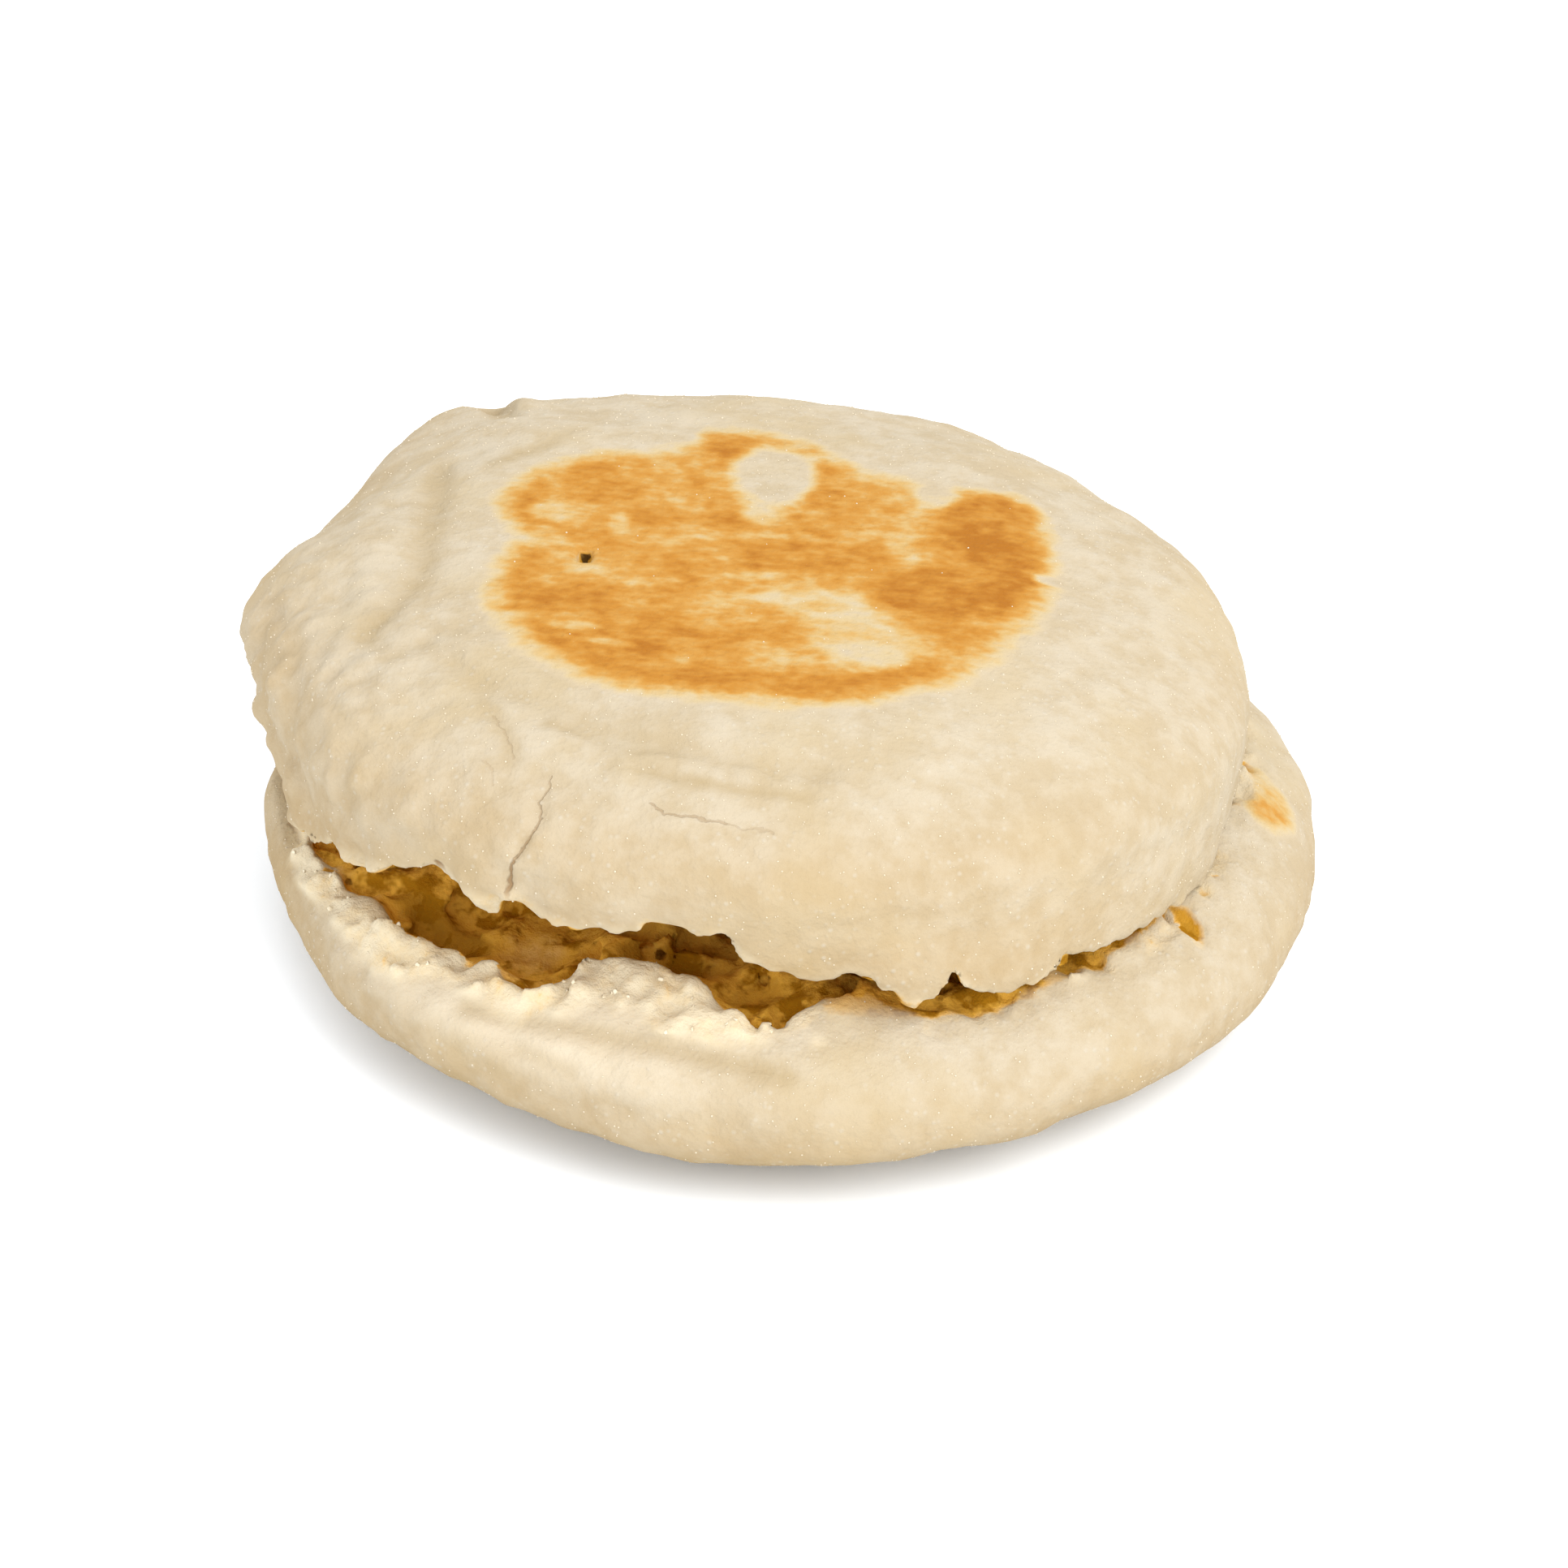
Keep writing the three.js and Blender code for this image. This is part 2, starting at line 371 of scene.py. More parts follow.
@dataclass(frozen=True)
class MaskDepths:
    """Where each mask rises from 0 to 1, in millimetres, unless a field says otherwise."""

    torn_edge: Span = (-0.3, 0.1)
    crumb: Span = (0.25, 0.6)
    # where the painted golden brown shade of the tear rises
    shade_amber: Span = (0.4, 1.9)
    # where the painted shade of the holes rises
    stain: Span = (0.05, 0.45)
    hollow_shade_level: Span = (0.2, 0.5)
    # where the painted shade deep inside the tear rises
    far: Span = (8.0, 12.0)
    hidden: Span = (4.0, 14.0)
    litter_below: float = 0.3
    litter_width: float = 1.3
    litter_skin: Span = (-1.8, -0.5)
    litter_least_peel: float = 0.1
    table: Span = (0.4, 1.0)
    toasted_level: Span = (-0.1, 0.5)
    toasted_bare: float = 0.95
    # turn over which the crumb's painted light gives way to the darker colour
    light_balance_turn: float = 10.0
    # where the holes' painted shade, and its removal in pale holes, fades out
    dark_walls: Span = (1.25, 1.6)
    pale_walls: Span = (1.0, 1.4)
    crease_reach: float = 1.2
    toast_fade: Span = (1.4, 3.2)


@dataclass(frozen=True)
class Rough:
    """A spot where the crust's finest relief is stronger: its centre, radius and extra strength."""

    centre: Point
    radius: float
    amount: float


@dataclass(frozen=True)
class Crack:
    """A fine crack along a few points on the skin, drawn by the material: its half width and strength."""

    points: tuple[Point, ...]
    width: float
    strength: float


# ---- Lattice, noise and surface ----

class Lattice:
    """A regular grid of points that holds a field, and turns it into a surface."""

    def __init__(self, low: Point, high: Point, step: float) -> None:
        """Lay the grid.

        Args:
            low: Lowest corner.
            high: Highest corner.
            step: Distance between grid points.
        """
        self.step = step
        self.low = np.array(low, dtype=np.float64)
        self.shape = tuple(int(math.ceil((b - a) / step)) + 1 for a, b in zip(low, high))
        self.axes = [start + step * np.arange(count, dtype=np.float32)
                     for start, count in zip(low, self.shape)]
        self.x = self.axes[0][:, None, None]
        self.y = self.axes[1][None, :, None]
        self.z = self.axes[2][None, None, :]

    def noise(self, seed: int, cell: float) -> Array:
        """Return smooth noise over the grid, with mean 0 and spread 1.

        Args:
            seed: Fixed seed.
            cell: Size of one lump.

        Returns:
            One value for each grid point.
        """
        weights = []
        for axis in self.axes:
            place = (axis - axis[0]) / cell + 1.0
            first = np.floor(place).astype(int)
            part = (place - first)[:, None]
            spline = np.concatenate([
                (1 - part) ** 3 / 6,
                (3 * part ** 3 - 6 * part ** 2 + 4) / 6,
                (-3 * part ** 3 + 3 * part ** 2 + 3 * part + 1) / 6,
                part ** 3 / 6,
            ], axis=1)
            matrix = np.zeros((len(axis), first.max() + 4), dtype=np.float32)
            rows = np.arange(len(axis))
            for offset in range(4):
                matrix[rows, first - 1 + offset] += spline[:, offset]
            weights.append(matrix)
        rng = np.random.default_rng(seed)
        knots = rng.standard_normal(tuple(w.shape[1] for w in weights)).astype(np.float32)
        value = np.tensordot(weights[0], knots, axes=(1, 0))
        value = np.tensordot(value, weights[1], axes=(1, 1)).transpose(0, 2, 1)
        value = np.tensordot(value, weights[2], axes=(2, 1))
        return value / value.std()

    def window(self, low: Array, high: Array) -> tuple[slice, slice, slice]:
        """Return the slices of the grid between two corners.

        Args:
            low: Lowest corner.
            high: Highest corner.

        Returns:
            One slice for each axis.
        """
        slices = []
        for i in range(3):
            start = int(math.floor((low[i] - self.low[i]) / self.step))
            stop = int(math.ceil((high[i] - self.low[i]) / self.step)) + 1
            slices.append(slice(max(start, 0), max(min(stop, self.shape[i]), 0)))
        return tuple(slices)

    def sample(self, values: Array, points: Array) -> Array:
        """Return a field's values at scattered points, by trilinear interpolation.

        Args:
            values: The field.
            points: Points in millimetres, one a row.

        Returns:
            The field's value at each point.
        """
        place = (points - self.low) / self.step
        limit = np.array(self.shape) - 2
        first = np.clip(np.floor(place).astype(int), 0, limit)
        part = np.clip(place - first, 0.0, 1.0)
        result = np.zeros(len(points))
        for corner in range(BOX_CORNERS):
            bits = np.array([(corner >> i) & 1 for i in range(3)])
            weight = np.prod(np.where(bits, part, 1.0 - part), axis=1)
            i, j, k = (first + bits).T
            result += weight * values[i, j, k]
        return result

    def surface(self, values: Array) -> tuple[Array, Array]:
        """Return the zero surface of a field as points and outward quads.

        Args:
            values: The field, negative inside.

        Returns:
            Points in millimetres and quads of point numbers.
        """
        inside = values < 0.0
        cells = np.zeros(tuple(n - 1 for n in self.shape), dtype=np.int8)
        for corner in range(BOX_CORNERS):
            bits = [(corner >> i) & 1 for i in range(3)]
            view = tuple(slice(b, b + n - 1) for b, n in zip(bits, self.shape))
            cells += inside[view]
        active = np.argwhere((cells > 0) & (cells < BOX_CORNERS))
        number = np.full(cells.shape, -1, dtype=np.int64)
        number[tuple(active.T)] = np.arange(len(active))
        sums = np.zeros((len(active), 3))
        count = np.zeros(len(active))
        for axis in range(3):
            others = [i for i in range(3) if i != axis]
            for side in range(4):
                start = active.copy()
                start[:, others[0]] += side & 1
                start[:, others[1]] += side >> 1
                end = start.copy()
                end[:, axis] += 1
                first = values[tuple(start.T)].astype(np.float64)
                second = values[tuple(end.T)].astype(np.float64)
                crossed = (first < 0.0) != (second < 0.0)
                part = first[crossed] / (first[crossed] - second[crossed])
                point = start[crossed].astype(np.float64)
                point[:, axis] += part
                sums[crossed] += point
                count[crossed] += 1
        points = sums / count[:, None] * self.step + self.low
        quads = [self._quads(inside, number, axis) for axis in range(3)]
        return points, np.concatenate(quads)

    def _quads(self, inside: Array, number: Array, axis: int) -> Array:
        """Return the quads across every crossed grid edge along one axis.

        Args:
            inside: Which grid points lie inside.
            number: Number of each cell's point, or -1.
            axis: The edges' axis.

        Returns:
            Four point numbers for each quad, in outward order.
        """
        near = [slice(1, n - 1) for n in self.shape]
        far = list(near)
        near[axis] = slice(0, self.shape[axis] - 1)
        far[axis] = slice(1, self.shape[axis])
        start, end = inside[tuple(near)], inside[tuple(far)]
        crossed = np.argwhere(start != end)
        outward = start[tuple(crossed.T)]
        base = crossed.copy()
        others = [(axis + 1) % 3, (axis + 2) % 3]
        for other in others:
            base[:, other] += 1
        corners = []
        for a, b in ((1, 1), (0, 1), (0, 0), (1, 0)):
            cell = base.copy()
            cell[:, others[0]] -= a
            cell[:, others[1]] -= b
            corners.append(number[tuple(cell.T)])
        quads = np.stack(corners, axis=1)
        quads[~outward] = quads[~outward][:, ::-1]
        return quads


def distance_to_path(x: Array, y: Array, z: Array, points: tuple[Point, ...]) -> Array:
    """Return how far each place is from a path.

    Args:
        x: Places to the right.
        y: Places to the back.
        z: Heights.
        points: Corners of the path.

    Returns:
        Distances in the shape that the places make together.
    """
    best = np.full(np.broadcast(x, y, z).shape, FAR_AWAY, dtype=np.float32)
    for start, end in zip(np.array(points[:-1]), np.array(points[1:])):
        run = end - start
        along = ((x - start[0]) * run[0] + (y - start[1]) * run[1] + (z - start[2]) * run[2]) / (run @ run)
        along = np.clip(along, 0.0, 1.0)
        gap = np.sqrt((x - start[0] - along * run[0]) ** 2 + (y - start[1] - along * run[1]) ** 2
                      + (z - start[2] - along * run[2]) ** 2)
        best = np.minimum(best, gap)
    return best


# ---- The two halves ----

class Side(Enum):
    """Which way a half's torn face looks."""

    UP = 1
    DOWN = -1


class Mask(Enum):
    """Names of the values that a mesh carries for its materials and scatters."""

    CRUMB = "crumb"
    DEEP = "deep"
    TOAST = "toast"
    CREASE = "crease"
    LOWER = "lower"
    FLOURED = "floured"
    LITTERED = "littered"
    STAIN = "stain"
    DULL = "dull"
    DUSTED = "dusted"


@dataclass(frozen=True)
class Tone:
    """A spot of lighter or darker browning: its centre, half sizes, level and turn in degrees."""

    x: float
    y: float
    half_x: float
    half_y: float
    level: float
    turn: float = 0.0
    fade: Span = (0.55, 1.35)

    def weight(self, x: Array, y: Array) -> Array:
        """Return how much of the spot each place takes.

        Args:
            x, y: Places in the half's axes.

        Returns:
            Shares from 0 to 1, soft at the spot's edge.
        """
        turn = math.radians(self.turn)
        across = (x - self.x) * math.cos(turn) + (y - self.y) * math.sin(turn)
        along = (y - self.y) * math.cos(turn) - (x - self.x) * math.sin(turn)
        out = np.hypot(across / self.half_x, along / self.half_y)
        return 1.0 - smooth_step(out, *self.fade)


@dataclass(frozen=True)
class Browning:
    """A browned flat: its edge as pairs of azimuth and radius about a centre, and its tones in order."""

    centre: Span
    edge: tuple[Span, ...]
    tones: tuple[Tone, ...] = ()
    base: float = 0.80
    outside: float = -0.55
    feather: float = 3.6

    def level(self, x: Array, y: Array) -> Array:
        """Return the browning level over the plan.

        Args:
            x, y: Places in the half's axes.

        Returns:
            Levels from `outside` in pale crust to about 1.2.
        """
        away_x, away_y = x - self.centre[0], y - self.centre[1]
        edge = np.interp(azimuth_of(away_x, away_y), *zip(*self.edge), period=360.0)
        depth = edge - np.hypot(away_x, away_y)
        level = np.full_like(depth, self.base)
        for tone in self.tones:
            level = level + tone.weight(x, y) * (tone.level - level)
        return self.outside + (level - self.outside) * smooth_step(depth, -self.feather, self.feather)


@dataclass(frozen=True)
class Trough:
    """A hollow torn out of the crumb behind the rim: its swells, and where it starts and ends inside it."""

    swells: tuple[Swell, ...]
    outer: Span = (0.8, 2.6)
    inner: Span = (13.0, 19.0)
    deepest: float = 6.0

    def depth(self, azimuth: Array, inset: Array) -> Array:
        """Return how far the crumb is torn out at each place."""
        across = smooth_step(inset, *self.outer) * (1.0 - smooth_step(inset, *self.inner))
        return np.clip(total(self.swells, azimuth), 0.0, self.deepest) * across


@dataclass
class BreadHalf:
    """One torn half of the muffin, from its sizes to its finished mesh."""

    node: str
    slot: str
    side: Side
    outline: Outline
    skin: Skin
    rim: TornRim
    crumb: CrumbFace
    trough: Trough
    flat: float
    flat_rounding: float
    holes: tuple[Hole, ...]
    grooves: tuple[Groove, ...]
    cracks: tuple[Crack, ...]
    peel: tuple[Swell, ...]
    coarse: tuple[Rough, ...]
    browning: Browning
    seed: int
    place: Matrix
    heights: Span
    # where painted golden brown shade starts inside the skin
    tear_shade_from: Span
    # painted light: crumb before this azimuth keeps a brighter colour where it lies in the other half's
    # shade; crumb after it is multiplied darker
    light_balance_from: float
    # strength of the painted shade deep inside the tear
    far_shade: float
    bubbles: Bubbles = Bubbles()
    depths: MaskDepths = MaskDepths()
    step: float = 0.37
    extent: float = 50.5
    triangles: int = 194_000
    thinning_levels: int = 16
    thinning_strength: float = 0.02
    seen_thinning: float = 0.06
    hidden_thinning: float = 0.84
    edge_rounding: float = 0.2
    crust_lumps: tuple[Layer, ...] = (Layer(1, 9.0, 0.18), Layer(2, 4.0, 0.11))
    crust_fine: Layer = Layer(3, 2.2, 0.06)
    crust_finest: Layer = Layer(4, 1.05, 0.045)
    fine_follows: float = 0.3
    peeled_lumps: tuple[Layer, ...] = (Layer(5, 1.7, 0.28), Layer(6, 0.9, 0.30))
    peeled_depth: float = 0.1
    peeled_least: float = 0.15
    peeled_fade: float = 0.8
    groove_wander: Layer = Layer(7, 2.6, 0.25)
    groove_unevenness: float = 0.35
    groove_reach: int = 3
    crumb_lumps: Layer = Layer(11, 5.0, 0.85)
    crumb_grain: tuple[Layer, ...] = (Layer(12, 2.2, 0.60), Layer(13, 1.0, 0.60))
    crumb_roughness: float = 0.55
    crumb_lumps_from: Span = (1.0, 5.0)
    crumb_calm_from: Span = (8.0, 22.0)
    crumb_calm: float = 0.6
    hole_grain: tuple[Layer, ...] = (Layer(22, 2.2, 0.65), Layer(23, 1.1, 0.35))
    hole_raggedness: float = 0.28
    hole_raggedness_to: float = 1.6
    hole_reach: float = 1.5
    hole_margin_steps: int = 3
    low_from: Span = (3.0, 15.5)
    lattice: Lattice = field(init=False)
    skin_field: Array = field(init=False)
    torn_field: Array = field(init=False)
    whole_field: Array = field(init=False)

    def build(self, finish: bpy.types.Material) -> bpy.types.Object:
        """Make the half's mesh, with its masks, and let it stand for its frame node.

        Args:
            finish: The bread's material.

        Returns:
            The finished object.
        """
        reach = self.extent
        self.lattice = Lattice((-reach, -reach, self.heights[0]), (reach, reach, self.heights[1]), self.step)
        points, quads = self.lattice.surface(self.field())
        piece = self.thinned(points, quads)
        self.carry_masks(piece)
        piece.data.materials.append(finish)
        piece.data.polygons.foreach_set("use_smooth", [True] * len(piece.data.polygons))
        piece.data.transform(Matrix.Diagonal((METRES, METRES, METRES, 1.0)) @ self.place)
        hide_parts(self.node)
        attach(piece, BODY)
        log.info("%s: %d triangles", piece.name, len(piece.data.polygons))
        return piece

    def field(self) -> Array:
        """Return the half's field over its lattice, negative inside the bread.

        Returns:
            One value for each lattice point.
        """
        grid = self.lattice
        x, y, z = grid.x, grid.y, grid.z
        radius = np.hypot(x, y)
        azimuth = azimuth_of(x, y)
        outline = self.outline.radius(azimuth)
        rim = self.rim.height(azimuth)
        skin = self.skin.distance(radius, azimuth, z, outline) + self.crust_relief(z, rim, azimuth)
        griddled = (self.flat - z) * self.side.value
        skin = soft_max(skin, griddled + 0.0 * x, self.flat_rounding)
        rim_radius = self.skin.radius(azimuth, rim, outline)
        inset = rim_radius - radius
        share = np.clip(radius / rim_radius, 0.0, 1.0)
        tear = self.crumb.height(x, y, share, rim) - self.side.value * self.trough.depth(azimuth, inset)
        torn = (z - tear) * self.side.value + self.crumb_relief(inset)
        torn = self.keep_clear(torn)
        self.skin_field, self.torn_field = skin, torn
        self.whole_field = soft_max(skin, torn, self.edge_rounding)
        return self.cut_holes(np.array(self.whole_field))

    def noise(self, layer: Layer) -> Array:
        """Return a layer's noise over the lattice, with spread 1."""
        return self.lattice.noise(self.seed + layer.number, layer.cell)

    def layered(self, layers: tuple[Layer, ...]) -> Array:
        """Return the sum of some layers of noise, each at its own height."""
        return sum(layer.height * self.noise(layer) for layer in layers)

    def coarseness(self) -> Array:
        """Return how much the finest relief is strengthened over the lattice, 1 where it is not."""
        grid = self.lattice
        coarse = np.ones(grid.shape, dtype=np.float32)
        for spot in self.coarse:
            a, b, c = spot.centre
            away = (grid.x - a) ** 2 + (grid.y - b) ** 2 + (grid.z - c) ** 2
            coarse += spot.amount * np.exp(-away / spot.radius ** 2)
        return coarse

    def crust_relief(self, z: Array, rim: Array, azimuth: Array) -> Array:
        """Make the crust's lumps, folds and peeled shoulder.

        Args:
            z: Heights in the half's axes.
            rim: The rim's height at each azimuth.
            azimuth: Azimuths in degrees.

        Returns:
            Millimetres over the lattice, positive where the skin sinks.
        """
        grid = self.lattice
        coarse = self.coarseness()
        fine = (1.0 - self.fine_follows) + self.fine_follows * coarse
        relief = self.layered(self.crust_lumps)
        relief = relief + fine * self.crust_fine.height * self.noise(self.crust_fine)
        relief = relief + coarse * self.crust_finest.height * self.noise(self.crust_finest)
        peeled = self.peeled(azimuth, (rim - z) * self.side.value)
        relief = relief + peeled * (self.peeled_depth + self.layered(self.peeled_lumps))
        wander = self.noise(self.groove_wander)
        for groove in self.grooves:
            points = np.array(groove.points)
            margin = self.groove_reach * groove.width
            window = grid.window(points.min(0) - margin, points.max(0) + margin)
            gap = distance_to_path(grid.x[window[0]], grid.y[:, window[1]], grid.z[:, :, window[2]],
                                   groove.points) / groove.width
            gap = gap + self.groove_wander.height * wander[window]
            uneven = np.clip(1.0 + self.groove_unevenness * wander[window], 0.0, 2.0)
            relief[window] += groove.depth * uneven * np.exp(-(gap ** 2))
        return relief

    def peeled(self, azimuth: Array, below_rim: Array) -> Array:
        """Return 1 where the crust is torn away below the rim and rough crumb shows, else 0."""
        reach = self.peeled_least + total(self.peel, azimuth)
        return 1.0 - smooth_step(below_rim, reach - self.peeled_fade, reach + self.peeled_fade)

    def crumb_relief(self, inset: Array) -> Array:
        """Make the torn face's roughness, which calms down towards the hidden middle.

        Args:
            inset: Distances inwards from the rim.

        Returns:
            Millimetres over the lattice, positive where the crumb sinks.
        """
        start = smooth_step(inset, *self.crumb_lumps_from)
        lumps = self.crumb_lumps.height * start * self.noise(self.crumb_lumps)
        for layer in self.crumb_grain:
            lumps = lumps + layer.height * self.noise(layer)
        calm = self.crumb_calm * smooth_step(inset, *self.crumb_calm_from)
        return self.crumb_roughness * lumps * (1.0 - calm)

    def keep_clear(self, torn: Array) -> Array:
        """Return the torn face, lifted clear of the half below where there is one."""
        return torn

    def outward(self, points: tuple[Point, ...]) -> Vector:
        """Return the direction out of the skin at the middle of some points.

        Args:
            points: Places on the skin.

        Returns:
            A direction of length 1.
        """
        middle = np.mean(np.array(points), axis=0)
        steps = np.concatenate([np.eye(3), -np.eye(3)]) * self.step
        x, y, z = (middle + steps).T
        azimuth = azimuth_of(x, y)
        depth = self.skin.distance(np.hypot(x, y), azimuth, z, self.outline.radius(azimuth))
        return Vector(depth[:3] - depth[3:]).normalized()

    def all_holes(self) -> list[Hole]:
        """Gather the named holes and a seeded scatter of small ones in the crumb.

        Returns:
            Every hole, the named ones first.
        """
        bubbles = self.bubbles
        rng = np.random.default_rng(self.seed + bubbles.number)
        holes = list(self.holes)
        for _ in range(bubbles.count):
            azimuth, inset = rng.uniform(-180.0, 180.0), rng.uniform(*bubbles.insets)
            size = float(np.clip(rng.lognormal(bubbles.typical_log, bubbles.spread_log), *bubbles.sizes))
            flatness, lift = rng.uniform(*bubbles.flatness), rng.uniform(*bubbles.lift)
            in_front = bubbles.open_front[0] < azimuth < bubbles.open_front[1]
            margin = bubbles.front_margin if in_front else bubbles.back_margin
            if inset < margin + bubbles.size_margin * size:
                continue
            turn, depth = np.array([azimuth]), np.array([inset])
            rim = self.rim.height(turn)
            edge = float(self.skin.radius(turn, rim, self.outline.radius(turn))[0])
            angle, reach = math.radians(azimuth), edge - inset
            x, y = reach * math.sin(angle), -reach * math.cos(angle)
            z = float(self.crumb.height(np.array([x]), np.array([y]), np.array([reach / edge]), rim)[0])
            z -= self.side.value * (float(self.trough.depth(turn, depth)[0]) - lift * size)
            holes.append(Hole((x, y, z), size, flatness))
        return holes

    def cut_holes(self, values: Array) -> Array:
        """Open every air hole in the field.

        Args:
            values: The field without its holes, which is changed.

        Returns:
            The same field.
        """
        grid = self.lattice
        ragged = self.layered(self.hole_grain)
        for hole in self.all_holes():
            centre = np.array(hole.centre)
            reach = self.hole_reach * hole.radius + self.hole_margin_steps * grid.step
            window = grid.window(centre - reach, centre + reach)
            away = np.sqrt((grid.x[window[0]] - centre[0]) ** 2 + (grid.y[:, window[1]] - centre[1]) ** 2
                           + ((grid.z[:, :, window[2]] - centre[2]) / hole.flatness) ** 2)
            if away.size:
                uneven = self.hole_raggedness * min(hole.radius, self.hole_raggedness_to)
                opened = hole.radius - away + uneven * ragged[window]
                values[window] = soft_max(values[window], opened, self.edge_rounding)
        return values

    def thinned(self, points: Array, quads: Array) -> bpy.types.Object:
        """Return the surface as an object of triangles, thinned most where no one looks.

        Args:
            points: The surface's points in millimetres.
            quads: Point numbers of its quads.

        Returns:
            The object, still in the half's own axes.
        """
        mesh = bpy.data.meshes.new(self.node + "_bread")
        mesh.vertices.add(len(points))
        mesh.vertices.foreach_set("co", points.astype(np.float32).ravel())
        mesh.loops.add(quads.size)
        mesh.loops.foreach_set("vertex_index", quads.astype(np.int32).ravel())
        mesh.polygons.add(len(quads))
        mesh.polygons.foreach_set("loop_start", np.arange(0, quads.size, 4, dtype=np.int32))
        mesh.update(calc_edges=True)
        piece = bpy.data.objects.new(self.node + "_bread", mesh)
        bpy.context.collection.objects.link(piece)
        hidden = self.hidden(points)
        group = piece.vertex_groups.new(name="thin")
        levels = self.thinning_levels
        rounded = np.maximum(np.rint(hidden * levels).astype(int), 1)
        for level in range(1, levels + 1):
            group.add(np.flatnonzero(rounded == level).tolist(), level / levels, "REPLACE")
        thin = piece.modifiers.new("thin", "DECIMATE")
        thin.ratio = min(1.0, self.triangles / (2.0 * len(quads)))
        thin.vertex_group = group.name
        thin.vertex_group_factor = self.thinning_strength
        graph = bpy.context.evaluated_depsgraph_get()
        thinned = bpy.data.meshes.new_from_object(piece.evaluated_get(graph))
        piece.modifiers.remove(thin)
        piece.data = thinned
        piece.vertex_groups.clear()
        bpy.data.meshes.remove(mesh)
        thinned.name = self.node + "_bread"
        return piece

    def hidden(self, points: Array) -> Array:
        """Return how little each point is seen, least on the crust and most deep in the tear."""
        depth = -self.lattice.sample(self.skin_field, points)
        return self.seen_thinning + self.hidden_thinning * smooth_step(depth, *self.depths.hidden)

    def carry_masks(self, piece: bpy.types.Object) -> None:
        """Write the values that the materials and scatters read onto the mesh.

        Args:
            piece: The half's object, still in the half's own axes.
        """
        mesh, depths = piece.data, self.depths
        points = np.empty(len(mesh.vertices) * 3, dtype=np.float32)
        mesh.vertices.foreach_get("co", points)
        points = points.reshape(-1, 3).astype(np.float64)
        x, y, z = points.T
        azimuth = azimuth_of(x, y)
        skin = self.lattice.sample(self.skin_field, points)
        torn = self.lattice.sample(self.torn_field, points)
        buried = -self.lattice.sample(self.whole_field, points)
        below = (self.rim.height(azimuth) - z) * self.side.value
        crumb = np.maximum(smooth_step(torn - skin, *depths.torn_edge), smooth_step(buried, *depths.crumb))
        crumb = np.maximum(crumb, self.peeled(azimuth, below))
        # painted shade on the walls of the named holes
        stain = self.hole_walls(x, y, z, depths.dark_walls, 1.0) * smooth_step(buried, *depths.stain)
        # painted shade: the crumb turns golden brown deeper in the tear, under the other half and in the
        # holes; the pale holes take some away
        shaded = np.maximum(smooth_step(-skin, *self.tear_shade_from), smooth_step(buried, *depths.shade_amber))
        shaded = np.maximum(shaded, smooth_step(stain, *depths.hollow_shade_level))
        shaded = np.maximum(shaded, self.covered(x, y, z))
        shaded = shaded * (1.0 - self.hole_walls(x, y, z, depths.pale_walls, -1.0))
        near_rim = np.exp(-((below - depths.litter_below) / depths.litter_width) ** 2)
        near_rim = near_rim * smooth_step(skin, *depths.litter_skin)
        above_table = smooth_step(z, *depths.table) if self.side is Side.UP else 1.0
        toast = self.toasting(x, y, z)
        untoasted = 1.0 - depths.toasted_bare * smooth_step(toast, *depths.toasted_level)
        peel = total(self.peel, azimuth) - depths.litter_least_peel
        values = {
            Mask.CRUMB: crumb,
            Mask.DEEP: shaded,
            Mask.TOAST: toast,
            # painted shade in the creases
            Mask.CREASE: self.creases(x, y, z),
            Mask.LOWER: self.lowness(azimuth, z),
            Mask.FLOURED: (1.0 - crumb) * untoasted * above_table,
            Mask.LITTERED: near_rim * np.clip(peel, 0.0, 1.0),
            # painted shade: the named holes' walls and the crumb deep inside the tear
            Mask.STAIN: np.maximum(stain, self.far_shade * smooth_step(-skin, *depths.far)),
            # painted light on the heel's shaded shoulder
            Mask.DUSTED: self.dusted(azimuth, z),
            # painted light: 0 where the crumb keeps its brighter colour in shade, 1 where it is multiplied
            # darker
            Mask.DULL: smooth_step(azimuth, self.light_balance_from, self.light_balance_from + depths.light_balance_turn),
        }
        for mask, value in values.items():
            layer = mesh.attributes.new(mask.value, "FLOAT", "POINT")
            layer.data.foreach_set("value", value.astype(np.float32))

    def hole_walls(self, x: Array, y: Array, z: Array, fade: Span, sign: float) -> Array:
        """Return how much painted shade is laid on, or taken off, the walls of the named holes.

        Args:
            x, y, z: Places in the half's axes.
            fade: Shares of a hole's radius over which its stain fades away.
            sign: 1 for the holes with painted shade, or -1 for the pale ones, whose painted shade is
                negative.

        Returns:
            Strengths from 0 up.
        """
        strength = np.zeros_like(x)
        for hole in self.holes:
            a, b, c = hole.centre
            away = np.sqrt((x - a) ** 2 + (y - b) ** 2 + ((z - c) / hole.flatness) ** 2) / hole.radius
            strength = np.maximum(strength, sign * hole.stain * (1.0 - smooth_step(away, *fade)))
        return strength

    def covered(self, x: Array, y: Array, z: Array) -> Array:
        """Return 1 where another half covers the place from above and painted shade goes, else 0."""
        return np.zeros_like(x)

    def toasting(self, x: Array, y: Array, z: Array) -> Array:
        """Return the browning level, which fades away from the griddled flat.

        Args:
            x, y, z: Places in the half's axes.

        Returns:
            Levels as `Browning.level` gives them.
        """
        level = self.browning.level(x, y)
        away = smooth_step(np.abs(z - self.flat), *self.depths.toast_fade)
        return level + away * (self.browning.outside - level)

